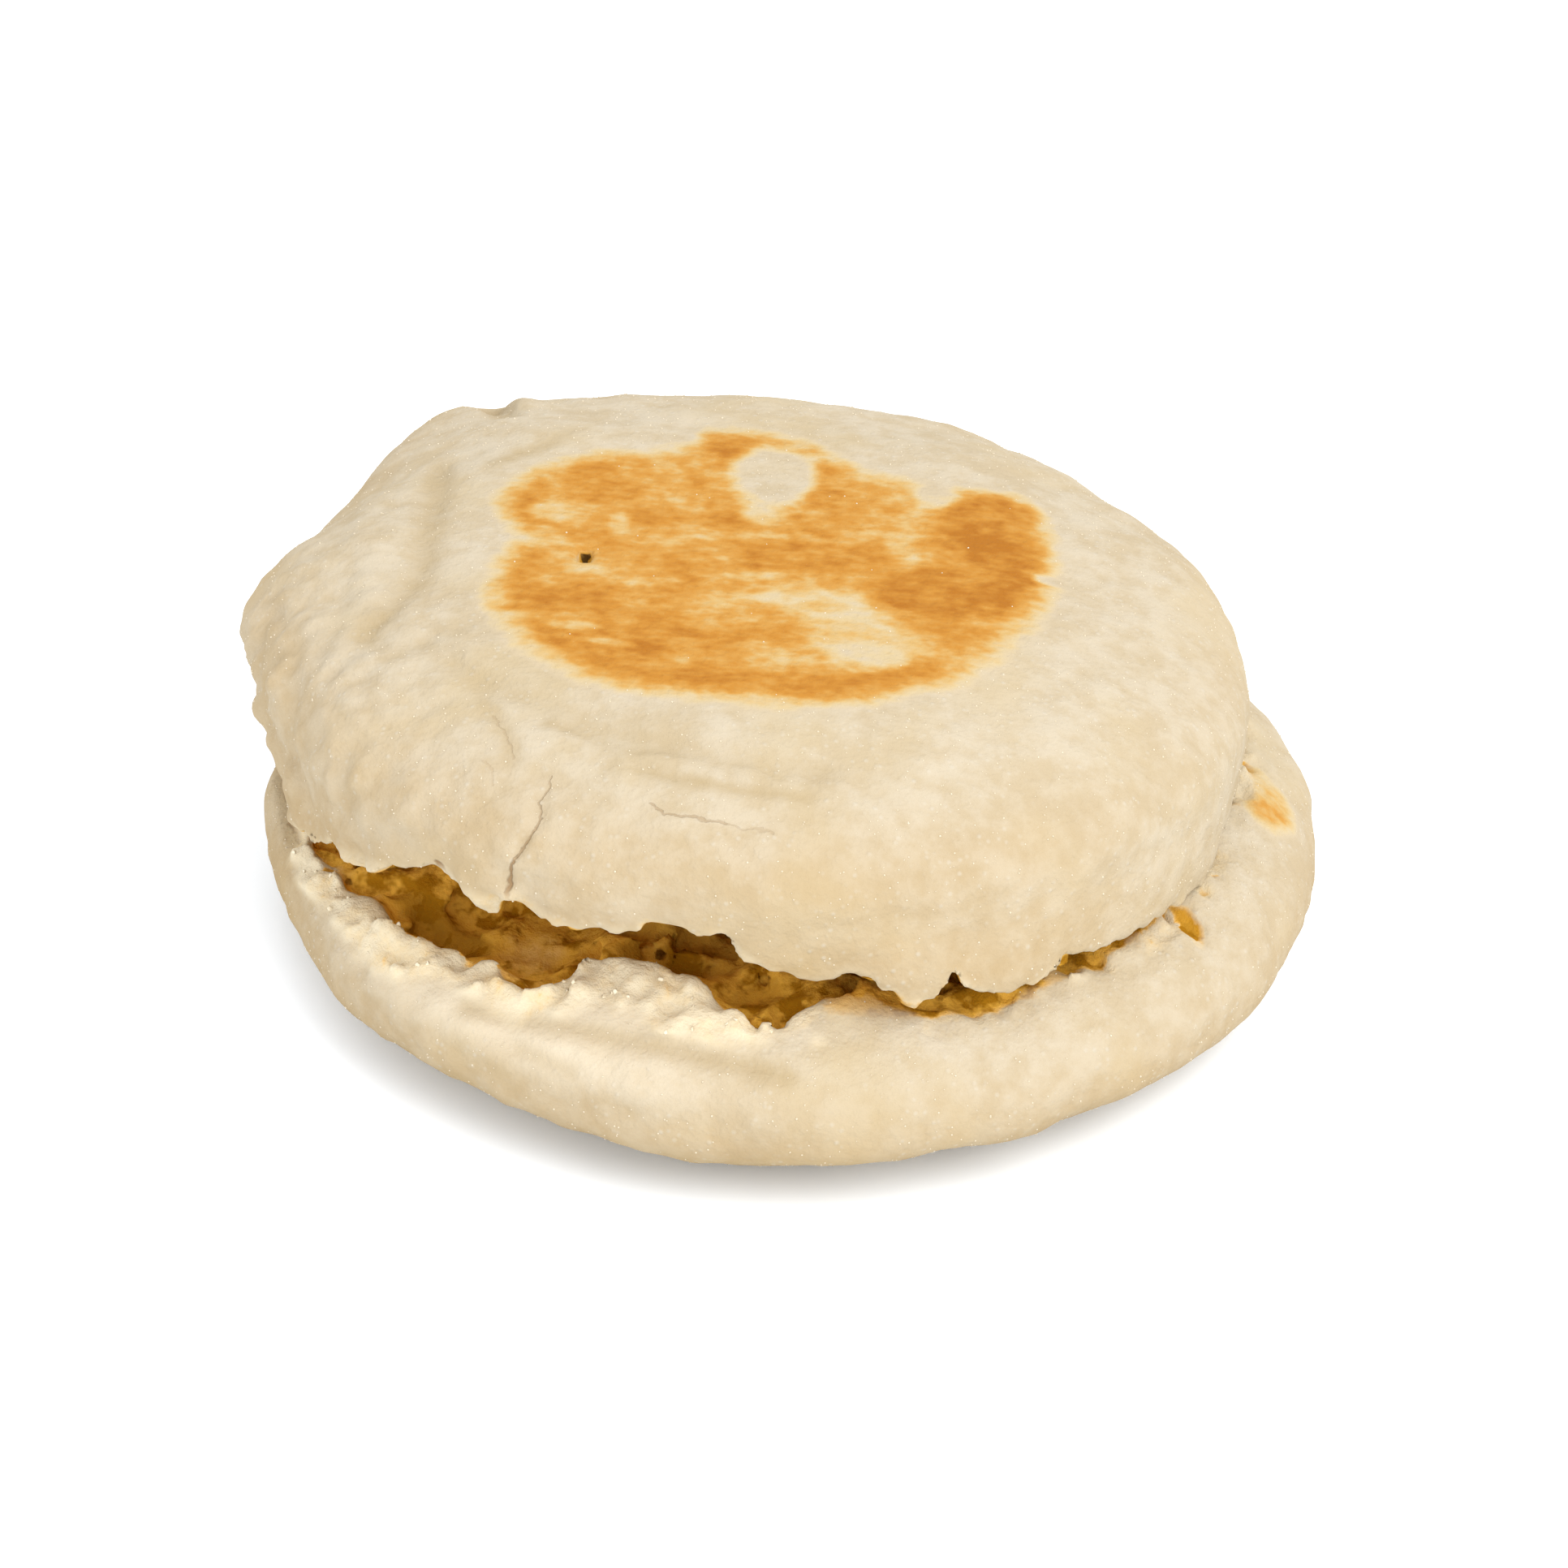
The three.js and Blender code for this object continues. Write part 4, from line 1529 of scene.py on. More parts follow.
class Painter:
    """Short words for building a node tree."""

    def __init__(self, tree: bpy.types.NodeTree) -> None:
        """Work on the given tree."""
        self.tree = tree

    def node(self, kind: str, **settings: object) -> bpy.types.Node:
        """Add a node of a kind, with its properties set.

        Args:
            kind: The node's type name.
            settings: Its properties by name.

        Returns:
            The new node.
        """
        node = self.tree.nodes.new(kind)
        for name, value in settings.items():
            setattr(node, name, value)
        return node

    def put(self, value: object, socket: Socket) -> None:
        """Link a socket, or set a plain value, on an input.

        Args:
            value: A socket or a plain value.
            socket: The input to fill.
        """
        if isinstance(value, bpy.types.NodeSocket):
            self.tree.links.new(value, socket)
        elif isinstance(value, tuple) and socket.type == "RGBA":
            socket.default_value = (*value, 1.0)
        else:
            socket.default_value = value

    def maths(self, operation: str, first: object, second: object = 0.0, clamp: bool = False) -> Socket:
        """Add a Math node.

        Args:
            operation: The operation's name.
            first, second: A socket or a plain value each.
            clamp: Whether the result is held between 0 and 1.

        Returns:
            The result's socket.
        """
        node = self.node("ShaderNodeMath", operation=operation, use_clamp=clamp)
        self.put(first, node.inputs[0])
        self.put(second, node.inputs[1])
        return node.outputs[0]

    def vector(self, operation: str, first: object, second: object, scale: object = None) -> bpy.types.Node:
        """Add a Vector Math node with its inputs filled.

        Args:
            operation: The operation's name.
            first, second: A socket or a plain value, or None, each.
            scale: The Scale input, or None.

        Returns:
            The node, whose outputs differ by operation.
        """
        node = self.node("ShaderNodeVectorMath", operation=operation)
        self.put(first, node.inputs[0])
        if second is not None:
            self.put(second, node.inputs[1])
        if scale is not None:
            self.put(scale, node.inputs["Scale"])
        return node

    def sum(self, *parts: tuple[object, float]) -> Socket:
        """Add up several sockets by weight.

        Args:
            parts: Pairs of a socket and its weight.

        Returns:
            The sum's socket.
        """
        result = None
        for value, weight in parts:
            part = self.maths("MULTIPLY", value, weight)
            result = part if result is None else self.maths("ADD", result, part)
        return result

    def ramp(self, value: object, low: float, high: float) -> Socket:
        """Rise smoothly from 0 at `low` to 1 at `high`.

        Args:
            value: A socket or a plain value.
            low: Where the rise starts.
            high: Where it ends.

        Returns:
            The share's socket, from 0 to 1.
        """
        node = self.node("ShaderNodeMapRange", interpolation_type="SMOOTHSTEP")
        self.put(value, node.inputs["Value"])
        node.inputs["From Min"].default_value = low
        node.inputs["From Max"].default_value = high
        return node.outputs["Result"]

    def mix(self, factor: object, first: object, second: object, blend: str = "MIX") -> Socket:
        """Mix two colours.

        Args:
            factor: Share of the second colour.
            first, second: A socket or a plain value each.
            blend: The blend's name.

        Returns:
            The colour's socket.
        """
        node = self.node("ShaderNodeMix", data_type="RGBA", blend_type=blend, clamp_factor=True)
        self.put(factor, node.inputs[0])
        self.put(first, node.inputs[6])
        self.put(second, node.inputs[7])
        return node.outputs[2]

    def noise(self, place: Socket, scale: float, detail: float = 2.0, roughness: float = 0.5) -> Socket:
        """Add a Noise texture.

        Args:
            place: Where it is read.
            scale: Lumps for each unit of the place.
            detail: Octaves of finer lumps.
            roughness: How strong those are.

        Returns:
            The value's socket.
        """
        node = self.node("ShaderNodeTexNoise")
        self.put(place, node.inputs["Vector"])
        node.inputs["Scale"].default_value = scale
        node.inputs["Detail"].default_value = detail
        node.inputs["Roughness"].default_value = roughness
        return node.outputs["Fac"]

    def cells(self, place: Socket, scale: float) -> Socket:
        """Measure the way to the nearest point of a Voronoi texture.

        Args:
            place: Where it is read.
            scale: Cells for each unit of the place.

        Returns:
            The distance's socket.
        """
        node = self.node("ShaderNodeTexVoronoi", feature="F1")
        self.put(place, node.inputs["Vector"])
        node.inputs["Scale"].default_value = scale
        return node.outputs["Distance"]

    def attribute(self, mask: Mask) -> Socket:
        """Return a mask that the mesh carries."""
        return self.node("ShaderNodeAttribute", attribute_name=mask.value).outputs["Fac"]

    def placed(self, place: Socket, scale: Point, turn: Point = (0.0, 0.0, 0.0),
               move: Point = (0.0, 0.0, 0.0)) -> Socket:
        """Scale a place along each axis, then turn it, then move it.

        Args:
            place: The place's socket.
            scale: Scale along each axis.
            turn: Turn about each axis in radians.
            move: Move along each axis.

        Returns:
            The new place's socket.
        """
        node = self.node("ShaderNodeMapping")
        self.put(place, node.inputs["Vector"])
        node.inputs["Scale"].default_value = scale
        node.inputs["Rotation"].default_value = turn
        node.inputs["Location"].default_value = move
        return node.outputs["Vector"]

    def tones(self, value: Socket, stops: tuple[tuple[float, Colour], ...]) -> Socket:
        """Pick a colour from a ramp.

        Args:
            value: Where on the ramp, from 0 to 1.
            stops: Positions and their colours.

        Returns:
            The colour's socket.
        """
        node = self.node("ShaderNodeValToRGB")
        elements = node.color_ramp.elements
        while len(elements) < len(stops):
            elements.new(0.5)
        for element, (at, colour) in zip(elements, stops):
            element.position = at
            element.color = (*colour, 1.0)
        self.put(value, node.inputs["Fac"])
        return node.outputs["Color"]


@dataclass
class Group:
    """A shader node group with named sockets, and a painter to fill it."""

    name: str
    inputs: tuple[tuple[str, str], ...]
    outputs: tuple[tuple[str, str], ...]
    tree: bpy.types.NodeTree = field(init=False)
    source: dict[str, Socket] = field(init=False)
    result: dict[str, Socket] = field(init=False)
    paint: Painter = field(init=False)

    def __post_init__(self) -> None:
        """Make the group's tree and sockets."""
        self.tree = bpy.data.node_groups.new(self.name, "ShaderNodeTree")
        for name, kind in self.inputs:
            self.tree.interface.new_socket(name, in_out="INPUT", socket_type=kind)
        for name, kind in self.outputs:
            self.tree.interface.new_socket(name, in_out="OUTPUT", socket_type=kind)
        start = self.tree.nodes.new("NodeGroupInput")
        end = self.tree.nodes.new("NodeGroupOutput")
        self.source = {name: start.outputs[name] for name, _ in self.inputs}
        self.result = {name: end.inputs[name] for name, _ in self.outputs}
        self.paint = Painter(self.tree)

    def use(self, paint: Painter, **values: object) -> dict[str, Socket]:
        """Put the group into a tree with its inputs filled.

        Args:
            paint: The painter of that tree.
            values: What goes into each named input.

        Returns:
            The outputs by name.
        """
        node = paint.node("ShaderNodeGroup", node_tree=self.tree)
        for name, value in values.items():
            paint.put(value, node.inputs[name])
        return {name: node.outputs[name] for name, _ in self.outputs}


FLOAT, VECTOR, COLOUR = "NodeSocketFloat", "NodeSocketVector", "NodeSocketColor"
CRACK_WOBBLE_SCALE = 0.9
CRACK_WOBBLE = 1.1
CRACK_CORE = 0.3
CRACK_EDGE = 1.3
FAR_FROM_CRACK = 9.0
FLATTENING = 0.9


def flour_group() -> Group:
    """Make the group that dusts a crust with flour.

    Returns:
        A group that gives a soft mottle, a warm cast, bright flecks and their height.
    """
    group = Group("flour_dusting", (("Place", VECTOR), ("Amount", FLOAT)),
                  (("Mottle", FLOAT), ("Warmth", FLOAT), ("Flecks", FLOAT), ("Height", FLOAT)))
    paint, place = group.paint, group.source["Place"]
    broad = paint.noise(place, scale=0.12)
    fine = paint.noise(place, scale=0.45, detail=3.0, roughness=0.6)
    mottle = paint.ramp(paint.sum((broad, 0.45), (fine, 0.55)), low=0.36, high=0.64)
    paint.put(mottle, group.result["Mottle"])
    paint.put(paint.ramp(paint.noise(place, scale=0.085), low=0.46, high=0.7), group.result["Warmth"])
    crowd = paint.ramp(paint.noise(place, scale=0.3), low=0.40, high=0.62)
    bare = paint.ramp(paint.cells(place, scale=1.1), low=0.08, high=0.34)
    flecks = paint.maths("MULTIPLY", paint.maths("SUBTRACT", 1.0, bare), crowd)
    flecks = paint.maths("MULTIPLY", flecks, group.source["Amount"])
    paint.put(flecks, group.result["Flecks"])
    dust = paint.noise(place, scale=1.7, detail=3.0, roughness=0.6)
    paint.put(paint.sum((fine, 1.3), (dust, 0.75), (flecks, 0.4)), group.result["Height"])
    return group


def browning_group() -> Group:
    """Make the group that browns a griddled flat from its level.

    Returns:
        A group that gives the browned colour and how much of it shows.
    """
    group = Group("griddle_browning", (("Place", VECTOR), ("Level", FLOAT)),
                  (("Color", COLOUR), ("Amount", FLOAT)))
    paint, place, given = group.paint, group.source["Place"], group.source["Level"]
    streaked = paint.placed(place, (0.24, 0.44, 0.4), (0.0, 0.0, math.radians(-8.0)))
    dabbed = paint.placed(place, (0.7, 1.1, 0.9), (0.0, 0.0, math.radians(-4.0)))
    streaks = paint.noise(streaked, scale=1.0)
    dabs = paint.noise(dabbed, scale=1.0, detail=1.0)
    patches = paint.noise(place, scale=0.2)
    mottle = paint.noise(place, scale=0.55, roughness=0.55)
    wander = paint.sum((streaks, 0.6), (dabs, 0.6), (patches, 1.1), (mottle, 0.7))
    wander = paint.maths("SUBTRACT", wander, 1.5)
    inner = paint.maths("MULTIPLY", paint.ramp(given, low=-0.5, high=0.7), 0.75)
    wander = paint.maths("MULTIPLY", wander, paint.maths("ADD", 0.25, inner))
    level = paint.maths("ADD", given, wander)
    lowest, highest = -0.1, 1.3
    share = paint.maths("SUBTRACT", level, lowest)
    share = paint.maths("MULTIPLY", share, 1.0 / (highest - lowest), clamp=True)
    shades = (
        (0.0, seen(244, 225, 192)), (0.20, seen(248, 224, 176)), (0.40, seen(247, 206, 134)),
        (0.58, seen(242, 181, 92)), (0.76, seen(233, 163, 69)), (1.0, seen(211, 136, 49)),
    )
    paint.put(paint.tones(share, shades), group.result["Color"])
    paint.put(paint.ramp(level, low=-0.25, high=0.12), group.result["Amount"])
    return group


def crumb_group() -> Group:
    """Make the group for torn crumb: pale at the rim, with painted golden brown shade deeper in the tear and
    in its holes.

    Returns:
        A group that gives the crumb's colour and the height of its grain.
    """
    group = Group("torn_crumb", (("Place", VECTOR), ("Depth", FLOAT), ("Stain", FLOAT)),
                  (("Color", COLOUR), ("Height", FLOAT)))
    paint, place, stain = group.paint, group.source["Place"], group.source["Stain"]
    # pale is the crumb's own colour; the straw and honey stops are painted shade deeper in the tear
    pale, straw, honey = (0.575, 0.50, 0.36), (0.58, 0.47, 0.295), (0.75, 0.47, 0.14)
    # painted shade colours for the deeper tear, its holes and the darkest holes
    shade_amber, brown, darkest_shade = (0.74, 0.42, 0.06), (0.34, 0.155, 0.006), (0.07, 0.035, 0.006)
    blotches = paint.noise(place, scale=0.34, detail=3.0, roughness=0.6)
    grain = paint.noise(place, scale=1.5, detail=3.0, roughness=0.65)
    wander = paint.maths("SUBTRACT", paint.sum((blotches, 1.0), (grain, 0.4)), 0.62)
    depth = paint.maths("ADD", group.source["Depth"], wander)
    shown = paint.tones(depth, ((0.0, pale), (0.24, straw), (0.50, honey), (1.0, shade_amber)))
    # painted shade: the holes and, with noise, the deeper crumb turn brown
    dark = paint.maths("ADD", paint.maths("MULTIPLY", stain, 0.75), paint.ramp(blotches, low=0.49, high=0.64))
    dark = paint.maths("MULTIPLY", dark, paint.ramp(depth, low=0.2, high=0.7), clamp=True)
    shown = paint.mix(dark, shown, brown)
    # the darkest painted shade fills the most shaded holes
    shown = paint.mix(paint.ramp(stain, low=0.95, high=1.2), shown, darkest_shade)
    paint.put(shown, group.result["Color"])
    paint.put(paint.sum((grain, 1.3), (blotches, 0.8)), group.result["Height"])
    return group


def crack_group(name: str, cracks: tuple[Crack, ...],
                outward: Callable[[tuple[Point, ...]], Vector]) -> Group:
    """Return a group that is 1 in a half's fine cracks and 0 elsewhere.

    Args:
        name: The group's name.
        cracks: The cracks, in the half's own axes.
        outward: Gives the direction out of the skin at the middle of some points.

    Returns:
        The finished group.
    """
    group = Group(name, (("Place", VECTOR),), (("Mask", FLOAT),))
    paint = group.paint
    wobble = paint.node("ShaderNodeTexNoise")
    paint.put(group.source["Place"], wobble.inputs["Vector"])
    wobble.inputs["Scale"].default_value = CRACK_WOBBLE_SCALE
    shift = paint.vector("SUBTRACT", wobble.outputs["Color"], (0.5, 0.5, 0.5)).outputs[0]
    shift = paint.vector("SCALE", shift, None, CRACK_WOBBLE).outputs[0]
    place = paint.vector("ADD", group.source["Place"], shift).outputs[0]
    deepest: object = 0.0
    for crack in cracks:
        nearest: object = FAR_FROM_CRACK
        out = outward(crack.points)
        points = [Vector(point) - FLATTENING * Vector(point).dot(out) * out for point in crack.points]
        rise = paint.vector("DOT_PRODUCT", place, tuple(FLATTENING * out)).outputs["Value"]
        flattened = paint.vector("SUBTRACT", place, paint.vector("SCALE", tuple(out), None, rise).outputs[0])
        for start, end in zip(points[:-1], points[1:]):
            run = end - start
            away = paint.vector("SUBTRACT", flattened.outputs[0], tuple(start)).outputs[0]
            along = paint.vector("DOT_PRODUCT", away, tuple(run / run.length_squared)).outputs["Value"]
            along = paint.maths("ADD", along, 0.0, clamp=True)
            foot = paint.vector("SCALE", tuple(run), None, along).outputs[0]
            gap = paint.vector("DISTANCE", away, foot).outputs["Value"]
            nearest = paint.maths("MINIMUM", gap, nearest)
        beside = paint.ramp(nearest, CRACK_CORE * crack.width, CRACK_EDGE * crack.width)
        line = paint.maths("SUBTRACT", 1.0, beside)
        deepest = paint.maths("MAXIMUM", paint.maths("MULTIPLY", line, crack.strength), deepest)
    paint.put(deepest, group.result["Mask"])
    return group


@dataclass(frozen=True)
class Shared:
    """The shader groups that both halves use."""

    flour: Group
    browning: Group
    crumb: Group


@dataclass(frozen=True)
class BreadFinish:
    """Colours and surface of a bread half: floured crust, browned flat, torn crumb and cracks."""

    name: str
    pale: Colour
    shade: Colour
    warm: Colour
    fleck: Colour
    low: Colour
    # painted shade colour of the creases
    crease: Colour
    crack: Colour
    # multiplies the crumb darker where it is not given painted light
    dull: Colour
    # paler colour of the painted light on the heel's shoulder
    dusted: Colour
    roughness: float = 0.86
    sheen: float = 0.05
    dust: float = 0.42
    warmth: float = 0.5
    flecks: float = 0.9
    crack_depth: float = 1.4
    bump_strength: float = 0.6
    bump_metres: float = 0.00035

    def material(self, half: BreadHalf, shared: Shared) -> bpy.types.Material:
        """Build the material.

        Args:
            half: The half that it dresses, for its own axes and cracks.
            shared: The shared shader groups.

        Returns:
            The finished material.
        """
        material = bpy.data.materials.new(self.name)
        material.use_nodes = True
        shader = material.node_tree.nodes["Principled BSDF"]
        paint = Painter(material.node_tree)
        back = half.place.inverted()
        place = paint.placed(paint.node("ShaderNodeTexCoord").outputs["Object"], (MILLIMETRES,) * 3,
                             tuple(back.to_euler()), tuple(back.translation))
        flour = shared.flour.use(paint, Place=place, Amount=self.dust)
        brown = shared.browning.use(paint, Place=place, Level=paint.attribute(Mask.TOAST))
        # the tear's painted shade comes in through its two shade masks
        torn = shared.crumb.use(paint, Place=place, Depth=paint.attribute(Mask.DEEP),
                                Stain=paint.attribute(Mask.STAIN))
        # painted light: crumb in the crown's shade is left brighter, the rest is multiplied darker
        inside = paint.mix(paint.attribute(Mask.DULL), torn["Color"], self.dull, "MULTIPLY")
        line: object = 0.0
        if half.cracks:
            cracks = crack_group(self.name + "_cracks", half.cracks, half.outward)
            line = cracks.use(paint, Place=place)["Mask"]

        crust = paint.mix(flour["Mottle"], self.shade, self.pale)
        crust = paint.mix(paint.maths("MULTIPLY", flour["Warmth"], self.warmth), crust, self.warm)
        crust = paint.mix(paint.attribute(Mask.LOWER), crust, self.low, "MULTIPLY")
        crust = paint.mix(paint.maths("MULTIPLY", flour["Flecks"], self.flecks), crust, self.fleck)
        # painted light: paler crust on the heel's shaded shoulder
        crust = paint.mix(paint.attribute(Mask.DUSTED), crust, self.dusted)
        # painted shade in the creases
        crust = paint.mix(paint.attribute(Mask.CREASE), crust, self.crease)
        crust = paint.mix(brown["Amount"], crust, brown["Color"])
        crust = paint.mix(line, crust, self.crack)
        crumb = paint.attribute(Mask.CRUMB)
        paint.put(paint.mix(crumb, crust, inside), shader.inputs["Base Color"])
        shader.inputs["Roughness"].default_value = self.roughness
        shader.inputs["Specular IOR Level"].default_value = self.sheen

        sunk = paint.maths("MULTIPLY", line, self.crack_depth)
        skin_height = paint.maths("SUBTRACT", flour["Height"], sunk)
        height = paint.node("ShaderNodeMix", data_type="FLOAT")
        paint.put(crumb, height.inputs[0])
        paint.put(skin_height, height.inputs[2])
        paint.put(torn["Height"], height.inputs[3])
        bump = paint.node("ShaderNodeBump")
        bump.inputs["Strength"].default_value = self.bump_strength
        bump.inputs["Distance"].default_value = self.bump_metres
        paint.put(height.outputs[0], bump.inputs["Height"])
        paint.put(bump.outputs["Normal"], shader.inputs["Normal"])
        return material


@dataclass(frozen=True)
class GrainFinish:
    """One plain pale colour with a little speckle, for semolina and loose crumbs."""

    name: str
    colour: Colour
    speckle: Colour
    roughness: float = 0.8
    sheen: float = 0.2

    def material(self) -> bpy.types.Material:
        """Build the material.

        Returns:
            The finished material.
        """
        material = bpy.data.materials.new(self.name)
        material.use_nodes = True
        shader = material.node_tree.nodes["Principled BSDF"]
        paint = Painter(material.node_tree)
        place = paint.placed(paint.node("ShaderNodeTexCoord").outputs["Object"], (MILLIMETRES,) * 3)
        patch = paint.ramp(paint.noise(place, scale=0.9, roughness=0.6), low=0.38, high=0.66)
        paint.put(paint.mix(patch, self.speckle, self.colour), shader.inputs["Base Color"])
        shader.inputs["Roughness"].default_value = self.roughness
        shader.inputs["Specular IOR Level"].default_value = self.sheen
        return material


# ---- Scattered grains and crumbs ----

class Strewing:
    """The Geometry Nodes tree that strews, shapes, realizes and dresses grains, with named inputs."""

    INPUTS = (
        ("Surface", "NodeSocketGeometry"), ("Mask", "NodeSocketString"), ("Density", "NodeSocketFloat"),
        ("Smallest", "NodeSocketFloat"), ("Largest", "NodeSocketFloat"), ("Flattest", "NodeSocketFloat"),
        ("Lumpiness", "NodeSocketFloat"), ("Detail", "NodeSocketInt"), ("Seed", "NodeSocketInt"),
        ("Material", "NodeSocketMaterial"),
    )
    SIZE_DRAW, TURN_DRAW, SHAPE_DRAW = 1, 2, 3
    LUMPS_PER_MM = 2.6

    def __init__(self) -> None:
        """Build the tree."""
        self.tree = bpy.data.node_groups.new("strewn_grains", "GeometryNodeTree")
        for name, kind in self.INPUTS:
            self.tree.interface.new_socket(name, in_out="INPUT", socket_type=kind)
        self.tree.interface.new_socket("Grains", in_out="OUTPUT", socket_type="NodeSocketGeometry")
        self.paint = Painter(self.tree)
        start, end = self.paint.node("NodeGroupInput"), self.paint.node("NodeGroupOutput")
        self.given = {name: start.outputs[name] for name, _ in self.INPUTS}
        grains = self.through("GeometryNodeRealizeInstances", "Geometry", self.strewn())
        grains = self.through("GeometryNodeSetPosition", "Geometry", grains, Offset=self.lumps())
        grains = self.through("GeometryNodeSetShadeSmooth", "Geometry", grains)
        grains = self.through("GeometryNodeSetMaterial", "Geometry", grains, Material=self.given["Material"])
        self.paint.put(grains, end.inputs["Grains"])

    def through(self, kind: str, main: str, source: Socket, **values: object) -> Socket:
        """Lead a geometry through one more node.

        Args:
            kind: The node's type name.
            main: The input that takes the geometry.
            source: The geometry's socket.
            values: What goes into its other inputs.

        Returns:
            The node's first output.
        """
        node = self.paint.node(kind)
        self.paint.put(source, node.inputs[main])
        for name, value in values.items():
            self.paint.put(value, node.inputs[name])
        return node.outputs[0]

    def strewn(self) -> Socket:
        """Set a small ball, turned and scaled by chance, on points of the surface.

        Returns:
            The instances' socket.
        """
        paint, given = self.paint, self.given
        mask = paint.node("GeometryNodeInputNamedAttribute", data_type="FLOAT")
        paint.put(given["Mask"], mask.inputs["Name"])
        crowd = paint.maths("MULTIPLY", mask.outputs["Attribute"], given["Density"])
        strew = paint.node("GeometryNodeDistributePointsOnFaces", distribute_method="RANDOM")
        paint.put(given["Surface"], strew.inputs["Mesh"])
        paint.put(crowd, strew.inputs["Density"])
        paint.put(given["Seed"], strew.inputs["Seed"])
        ball = paint.node("GeometryNodeMeshIcoSphere")
        ball.inputs["Radius"].default_value = METRES
        paint.put(given["Detail"], ball.inputs["Subdivisions"])
        size = self.chance(self.SIZE_DRAW, given["Smallest"], given["Largest"])
        size = paint.vector("DOT_PRODUCT", size, (1.0 / 3.0,) * 3).outputs["Value"]
        uneven = self.chance(self.SHAPE_DRAW, given["Flattest"], (1.0, 1.0, 1.0))
        scale = paint.vector("SCALE", uneven, None, size).outputs[0]
        turn = self.chance(self.TURN_DRAW, (0.0, 0.0, 0.0), (2.0 * math.pi,) * 3)
        return self.through("GeometryNodeInstanceOnPoints", "Points", strew.outputs["Points"],
                            Instance=ball.outputs["Mesh"], Rotation=turn, Scale=scale)

    def chance(self, draw: int, low: object, high: object) -> Socket:
        """Draw a random vector for each grain.

        Args:
            draw: The draw's number, which is added to the seed.
            low: Its lowest corner.
            high: Its highest corner.

        Returns:
            The vector's socket.
        """
        value = self.paint.node("FunctionNodeRandomValue", data_type="FLOAT_VECTOR")
        self.paint.put(low, value.inputs["Min"])
        self.paint.put(high, value.inputs["Max"])
        self.paint.put(self.paint.maths("ADD", self.given["Seed"], float(draw)), value.inputs["Seed"])
        return value.outputs["Value"]

    def lumps(self) -> Socket:
        """Make the offset that leaves each grain irregular.

        Returns:
            The offset's socket.
        """
        noise = self.paint.node("ShaderNodeTexNoise")
        noise.inputs["Scale"].default_value = self.LUMPS_PER_MM / METRES
        centred = self.paint.vector("SUBTRACT", noise.outputs["Color"], (0.5, 0.5, 0.5)).outputs[0]
        return self.paint.vector("SCALE", centred, None, self.given["Lumpiness"]).outputs[0]

    def hang_on(self, piece: bpy.types.Object, **values: object) -> bpy.types.Modifier:
        """Add the tree to an object as a modifier, with its inputs set.

        Args:
            piece: The object.
            values: What goes into each named input.

        Returns:
            The modifier.
        """
        strew = piece.modifiers.new("strew", "NODES")
        strew.node_group = self.tree
        for socket in self.tree.interface.items_tree:
            if socket.name in values:
                strew[socket.identifier] = values[socket.name]
        return strew


@dataclass(frozen=True)
class Sprinkle:
    """One kind of small thing on a half's surface: where, how many, and its sizes in millimetres."""

    name: str
    mask: Mask
    per_square_mm: float
    smallest: float
    largest: float
    flattest: float
    detail: int
    lumpiness: float
    seed: int

    def build(self, half: bpy.types.Object, slot: str, finish: bpy.types.Material,
              strewing: Strewing) -> bpy.types.Object:
        """Strew the pieces over a half and join them into one mesh.

        Args:
            half: The finished half.
            slot: Not used.
            finish: Their material.
            strewing: The tree that strews them.

        Returns:
            The finished object.
        """
        piece = bpy.data.objects.new(self.name, half.data)
        bpy.context.collection.objects.link(piece)
        strew = strewing.hang_on(
            piece, Mask=self.mask.value, Density=self.per_square_mm / METRES ** 2, Smallest=self.smallest,
            Largest=self.largest, Flattest=self.flattest, Lumpiness=self.lumpiness * METRES,
            Detail=self.detail, Seed=self.seed, Material=finish)
        view = bpy.context.evaluated_depsgraph_get()
        mesh = bpy.data.meshes.new_from_object(piece.evaluated_get(view))
        piece.modifiers.remove(strew)
        piece.data = mesh
        mesh.name = self.name
        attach(piece, BODY)
        log.info("%s: %d triangles", piece.name, len(mesh.polygons))
        return piece


def semolina(half: str, seed: int) -> Sprinkle:
    """Return the flour grains on the crust of one half."""
    return Sprinkle(name=half + "_semolina", mask=Mask.FLOURED, per_square_mm=0.3, smallest=0.04,
                    largest=0.13, flattest=0.8, detail=1, lumpiness=0.0, seed=seed)


def loose_crumbs(half: str, seed: int) -> Sprinkle:
    """Return the torn crumbs that lie along the rim of one half."""
    return Sprinkle(name=half + "_crumbs", mask=Mask.LITTERED, per_square_mm=0.2, smallest=0.12,
                    largest=0.38, flattest=0.4, detail=2, lumpiness=0.7, seed=seed)


# ---- Studio ----

@dataclass(frozen=True)
class Lamp:
    """A round soft lamp that looks at the muffin: its power, width and place in metres."""

    name: str
    power: float
    size: float
    place: Point
    aim: Point = (0.0, 0.0, 0.015)
    colour: Colour = (1.0, 0.98, 0.95)

    def hang(self) -> None:
        """Make the lamp."""
        data = bpy.data.lights.new(self.name, "AREA")
        data.shape = "DISK"
        data.size = self.size
        data.energy = self.power
        data.color = self.colour
        lamp = bpy.data.objects.new(self.name, data)
        bpy.context.collection.objects.link(lamp)
        lamp.location = self.place
        toward = Vector(self.aim) - lamp.location
        lamp.rotation_euler = toward.to_track_quat("-Z", "Y").to_euler()


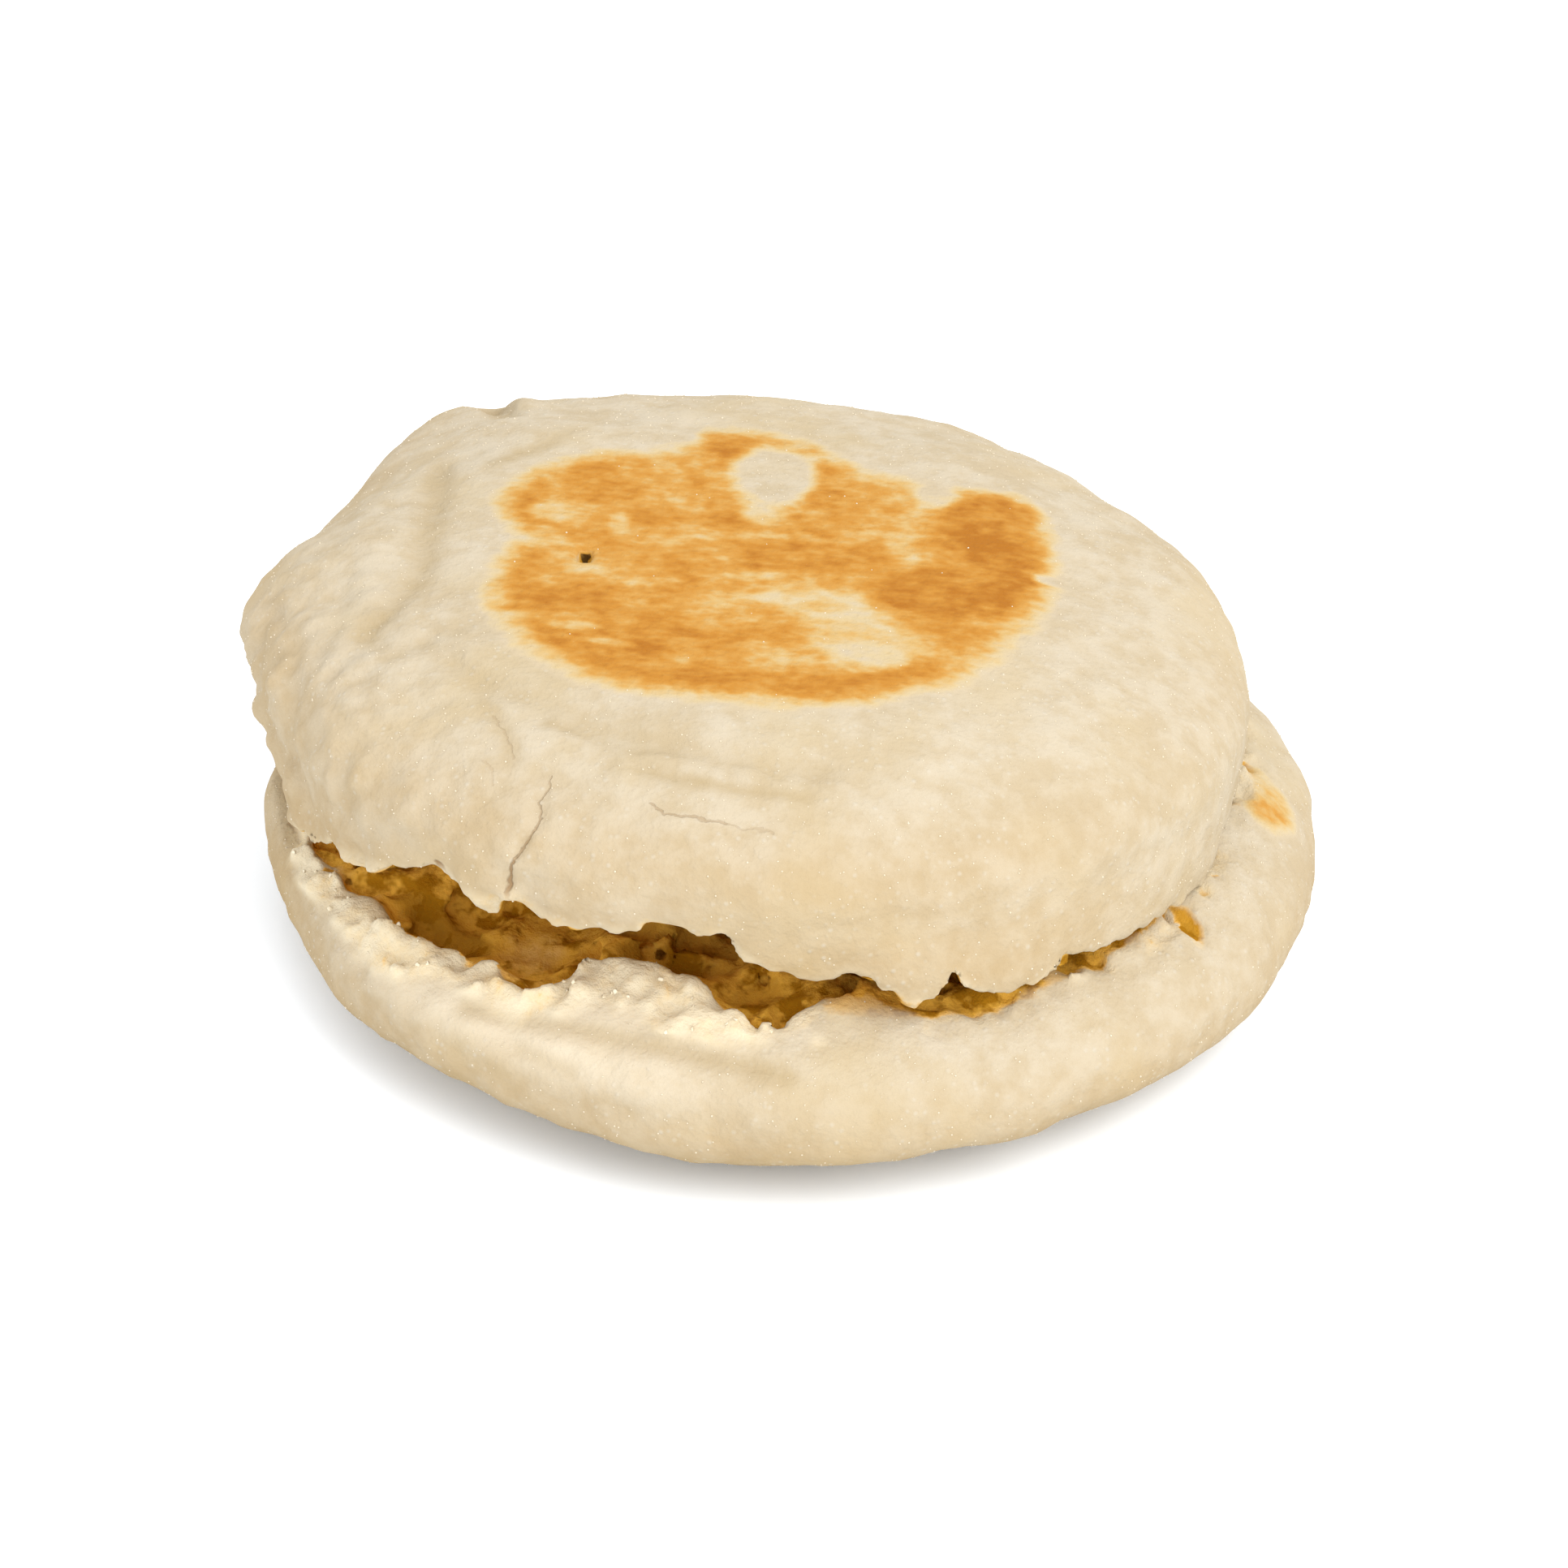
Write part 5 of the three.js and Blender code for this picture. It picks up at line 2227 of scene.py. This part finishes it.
@dataclass(frozen=True)
class Studio:
    """White table, soft light and the camera."""

    elevation: float = 34.2
    roll: float = 2.9
    distance: float = 620.0
    lens: float = 159.0
    target: Point = (0.35, -1.55, 14.55)
    sensor: float = 36.0
    clip: Span = (0.01, 20.0)
    table_size: float = 4.0
    table_colour: Colour = (0.90, 0.94, 0.99)
    table_roughness: float = 0.9
    table_sheen: float = 0.1
    sky: float = 1.53
    key: Lamp = Lamp("key", 11.6, 1.2, (0.64, -0.42, 0.95))
    fill: Lamp = Lamp("fill", 3.6, 0.9, (-0.30, -1.08, 0.38))

    def build(self) -> None:
        """Make the table, the lights and the camera."""
        self.table()
        self.lights()
        self.camera()

    def table(self) -> None:
        """Lay the white table under the muffin."""
        half = self.table_size / 2.0
        mesh = bpy.data.meshes.new("table")
        mesh.from_pydata([(-half, -half, 0), (half, -half, 0), (half, half, 0), (-half, half, 0)], [],
                         [(0, 1, 2, 3)])
        floor = bpy.data.objects.new("table", mesh)
        bpy.context.collection.objects.link(floor)
        material = bpy.data.materials.new("table_white")
        material.use_nodes = True
        shader = material.node_tree.nodes["Principled BSDF"]
        shader.inputs["Base Color"].default_value = (*self.table_colour, 1.0)
        shader.inputs["Roughness"].default_value = self.table_roughness
        shader.inputs["Specular IOR Level"].default_value = self.table_sheen
        floor.data.materials.append(material)

    def lights(self) -> None:
        """Hang a white sky, a large soft lamp at the upper right and a weak one low at the front."""
        world = bpy.data.worlds.new("studio")
        world.use_nodes = True
        background = world.node_tree.nodes["Background"]
        background.inputs["Color"].default_value = (1.0, 1.0, 1.0, 1.0)
        background.inputs["Strength"].default_value = self.sky
        bpy.context.scene.world = world
        self.key.hang()
        self.fill.hang()

    def camera(self) -> None:
        """Stand the camera where its view fits the muffin's outline."""
        data = bpy.data.cameras.new("camera")
        data.sensor_width = self.sensor
        data.lens = self.lens
        data.clip_start, data.clip_end = self.clip
        camera = bpy.data.objects.new("camera", data)
        bpy.context.collection.objects.link(camera)
        elevation, roll = math.radians(self.elevation), math.radians(self.roll)
        back = Vector((0.0, -math.cos(elevation), math.sin(elevation)))
        right = Vector((1.0, 0.0, 0.0))
        up = back.cross(right)
        rolled_right = right * math.cos(roll) + up * math.sin(roll)
        rolled_up = up * math.cos(roll) - right * math.sin(roll)
        matrix = Matrix((rolled_right, rolled_up, back)).transposed().to_4x4()
        matrix.translation = (Vector(self.target) + back * self.distance) * METRES
        camera.matrix_world = matrix
        scene = bpy.context.scene
        scene.camera = camera
        scene.view_settings.view_transform = "Standard"


def bread_finish(name: str) -> BreadFinish:
    """Return the finish of pale griddled bread.

    Args:
        name: The material's name.

    Returns:
        The finish.
    """
    return BreadFinish(
        name=name,
        pale=seen(244, 229, 202),
        shade=seen(232, 212, 177),
        warm=seen(238, 216, 174),
        fleck=seen(252, 243, 224),
        low=(0.89, 0.79, 0.63),
        # painted shade colour of the creases
        crease=seen(208, 180, 128),
        crack=seen(158, 108, 44),
        # darkening for crumb outside the painted light
        dull=(0.79, 0.77, 0.75),
        # paler colour of the painted light on the heel's shoulder
        dusted=(0.53, 0.46, 0.35),
    )


def main() -> None:
    """Build the studio, both halves and what lies loose on them, in order."""
    logging.basicConfig(level=logging.INFO, format="%(name)s %(message)s")
    Studio().build()
    shared = Shared(flour_group(), browning_group(), crumb_group())
    heel = make_heel()
    crown = make_crown(heel)
    heel.lid = crown
    flour_grain = GrainFinish("semolina", (0.58, 0.51, 0.39), (0.51, 0.44, 0.32)).material()
    crumb_grain = GrainFinish("crumb_bits", (0.68, 0.61, 0.47), (0.61, 0.53, 0.38)).material()
    strewing = Strewing()
    for half, word, finish, seed in ((heel, "bottom", "heel_bread", 11), (crown, "top", "crown_bread", 31)):
        bread = half.build(bread_finish(finish).material(half, shared))
        semolina(word, seed).build(bread, half.slot, flour_grain, strewing)
        loose_crumbs(word, seed + 7).build(bread, half.slot, crumb_grain, strewing)


if __name__ == "__main__":
    main()
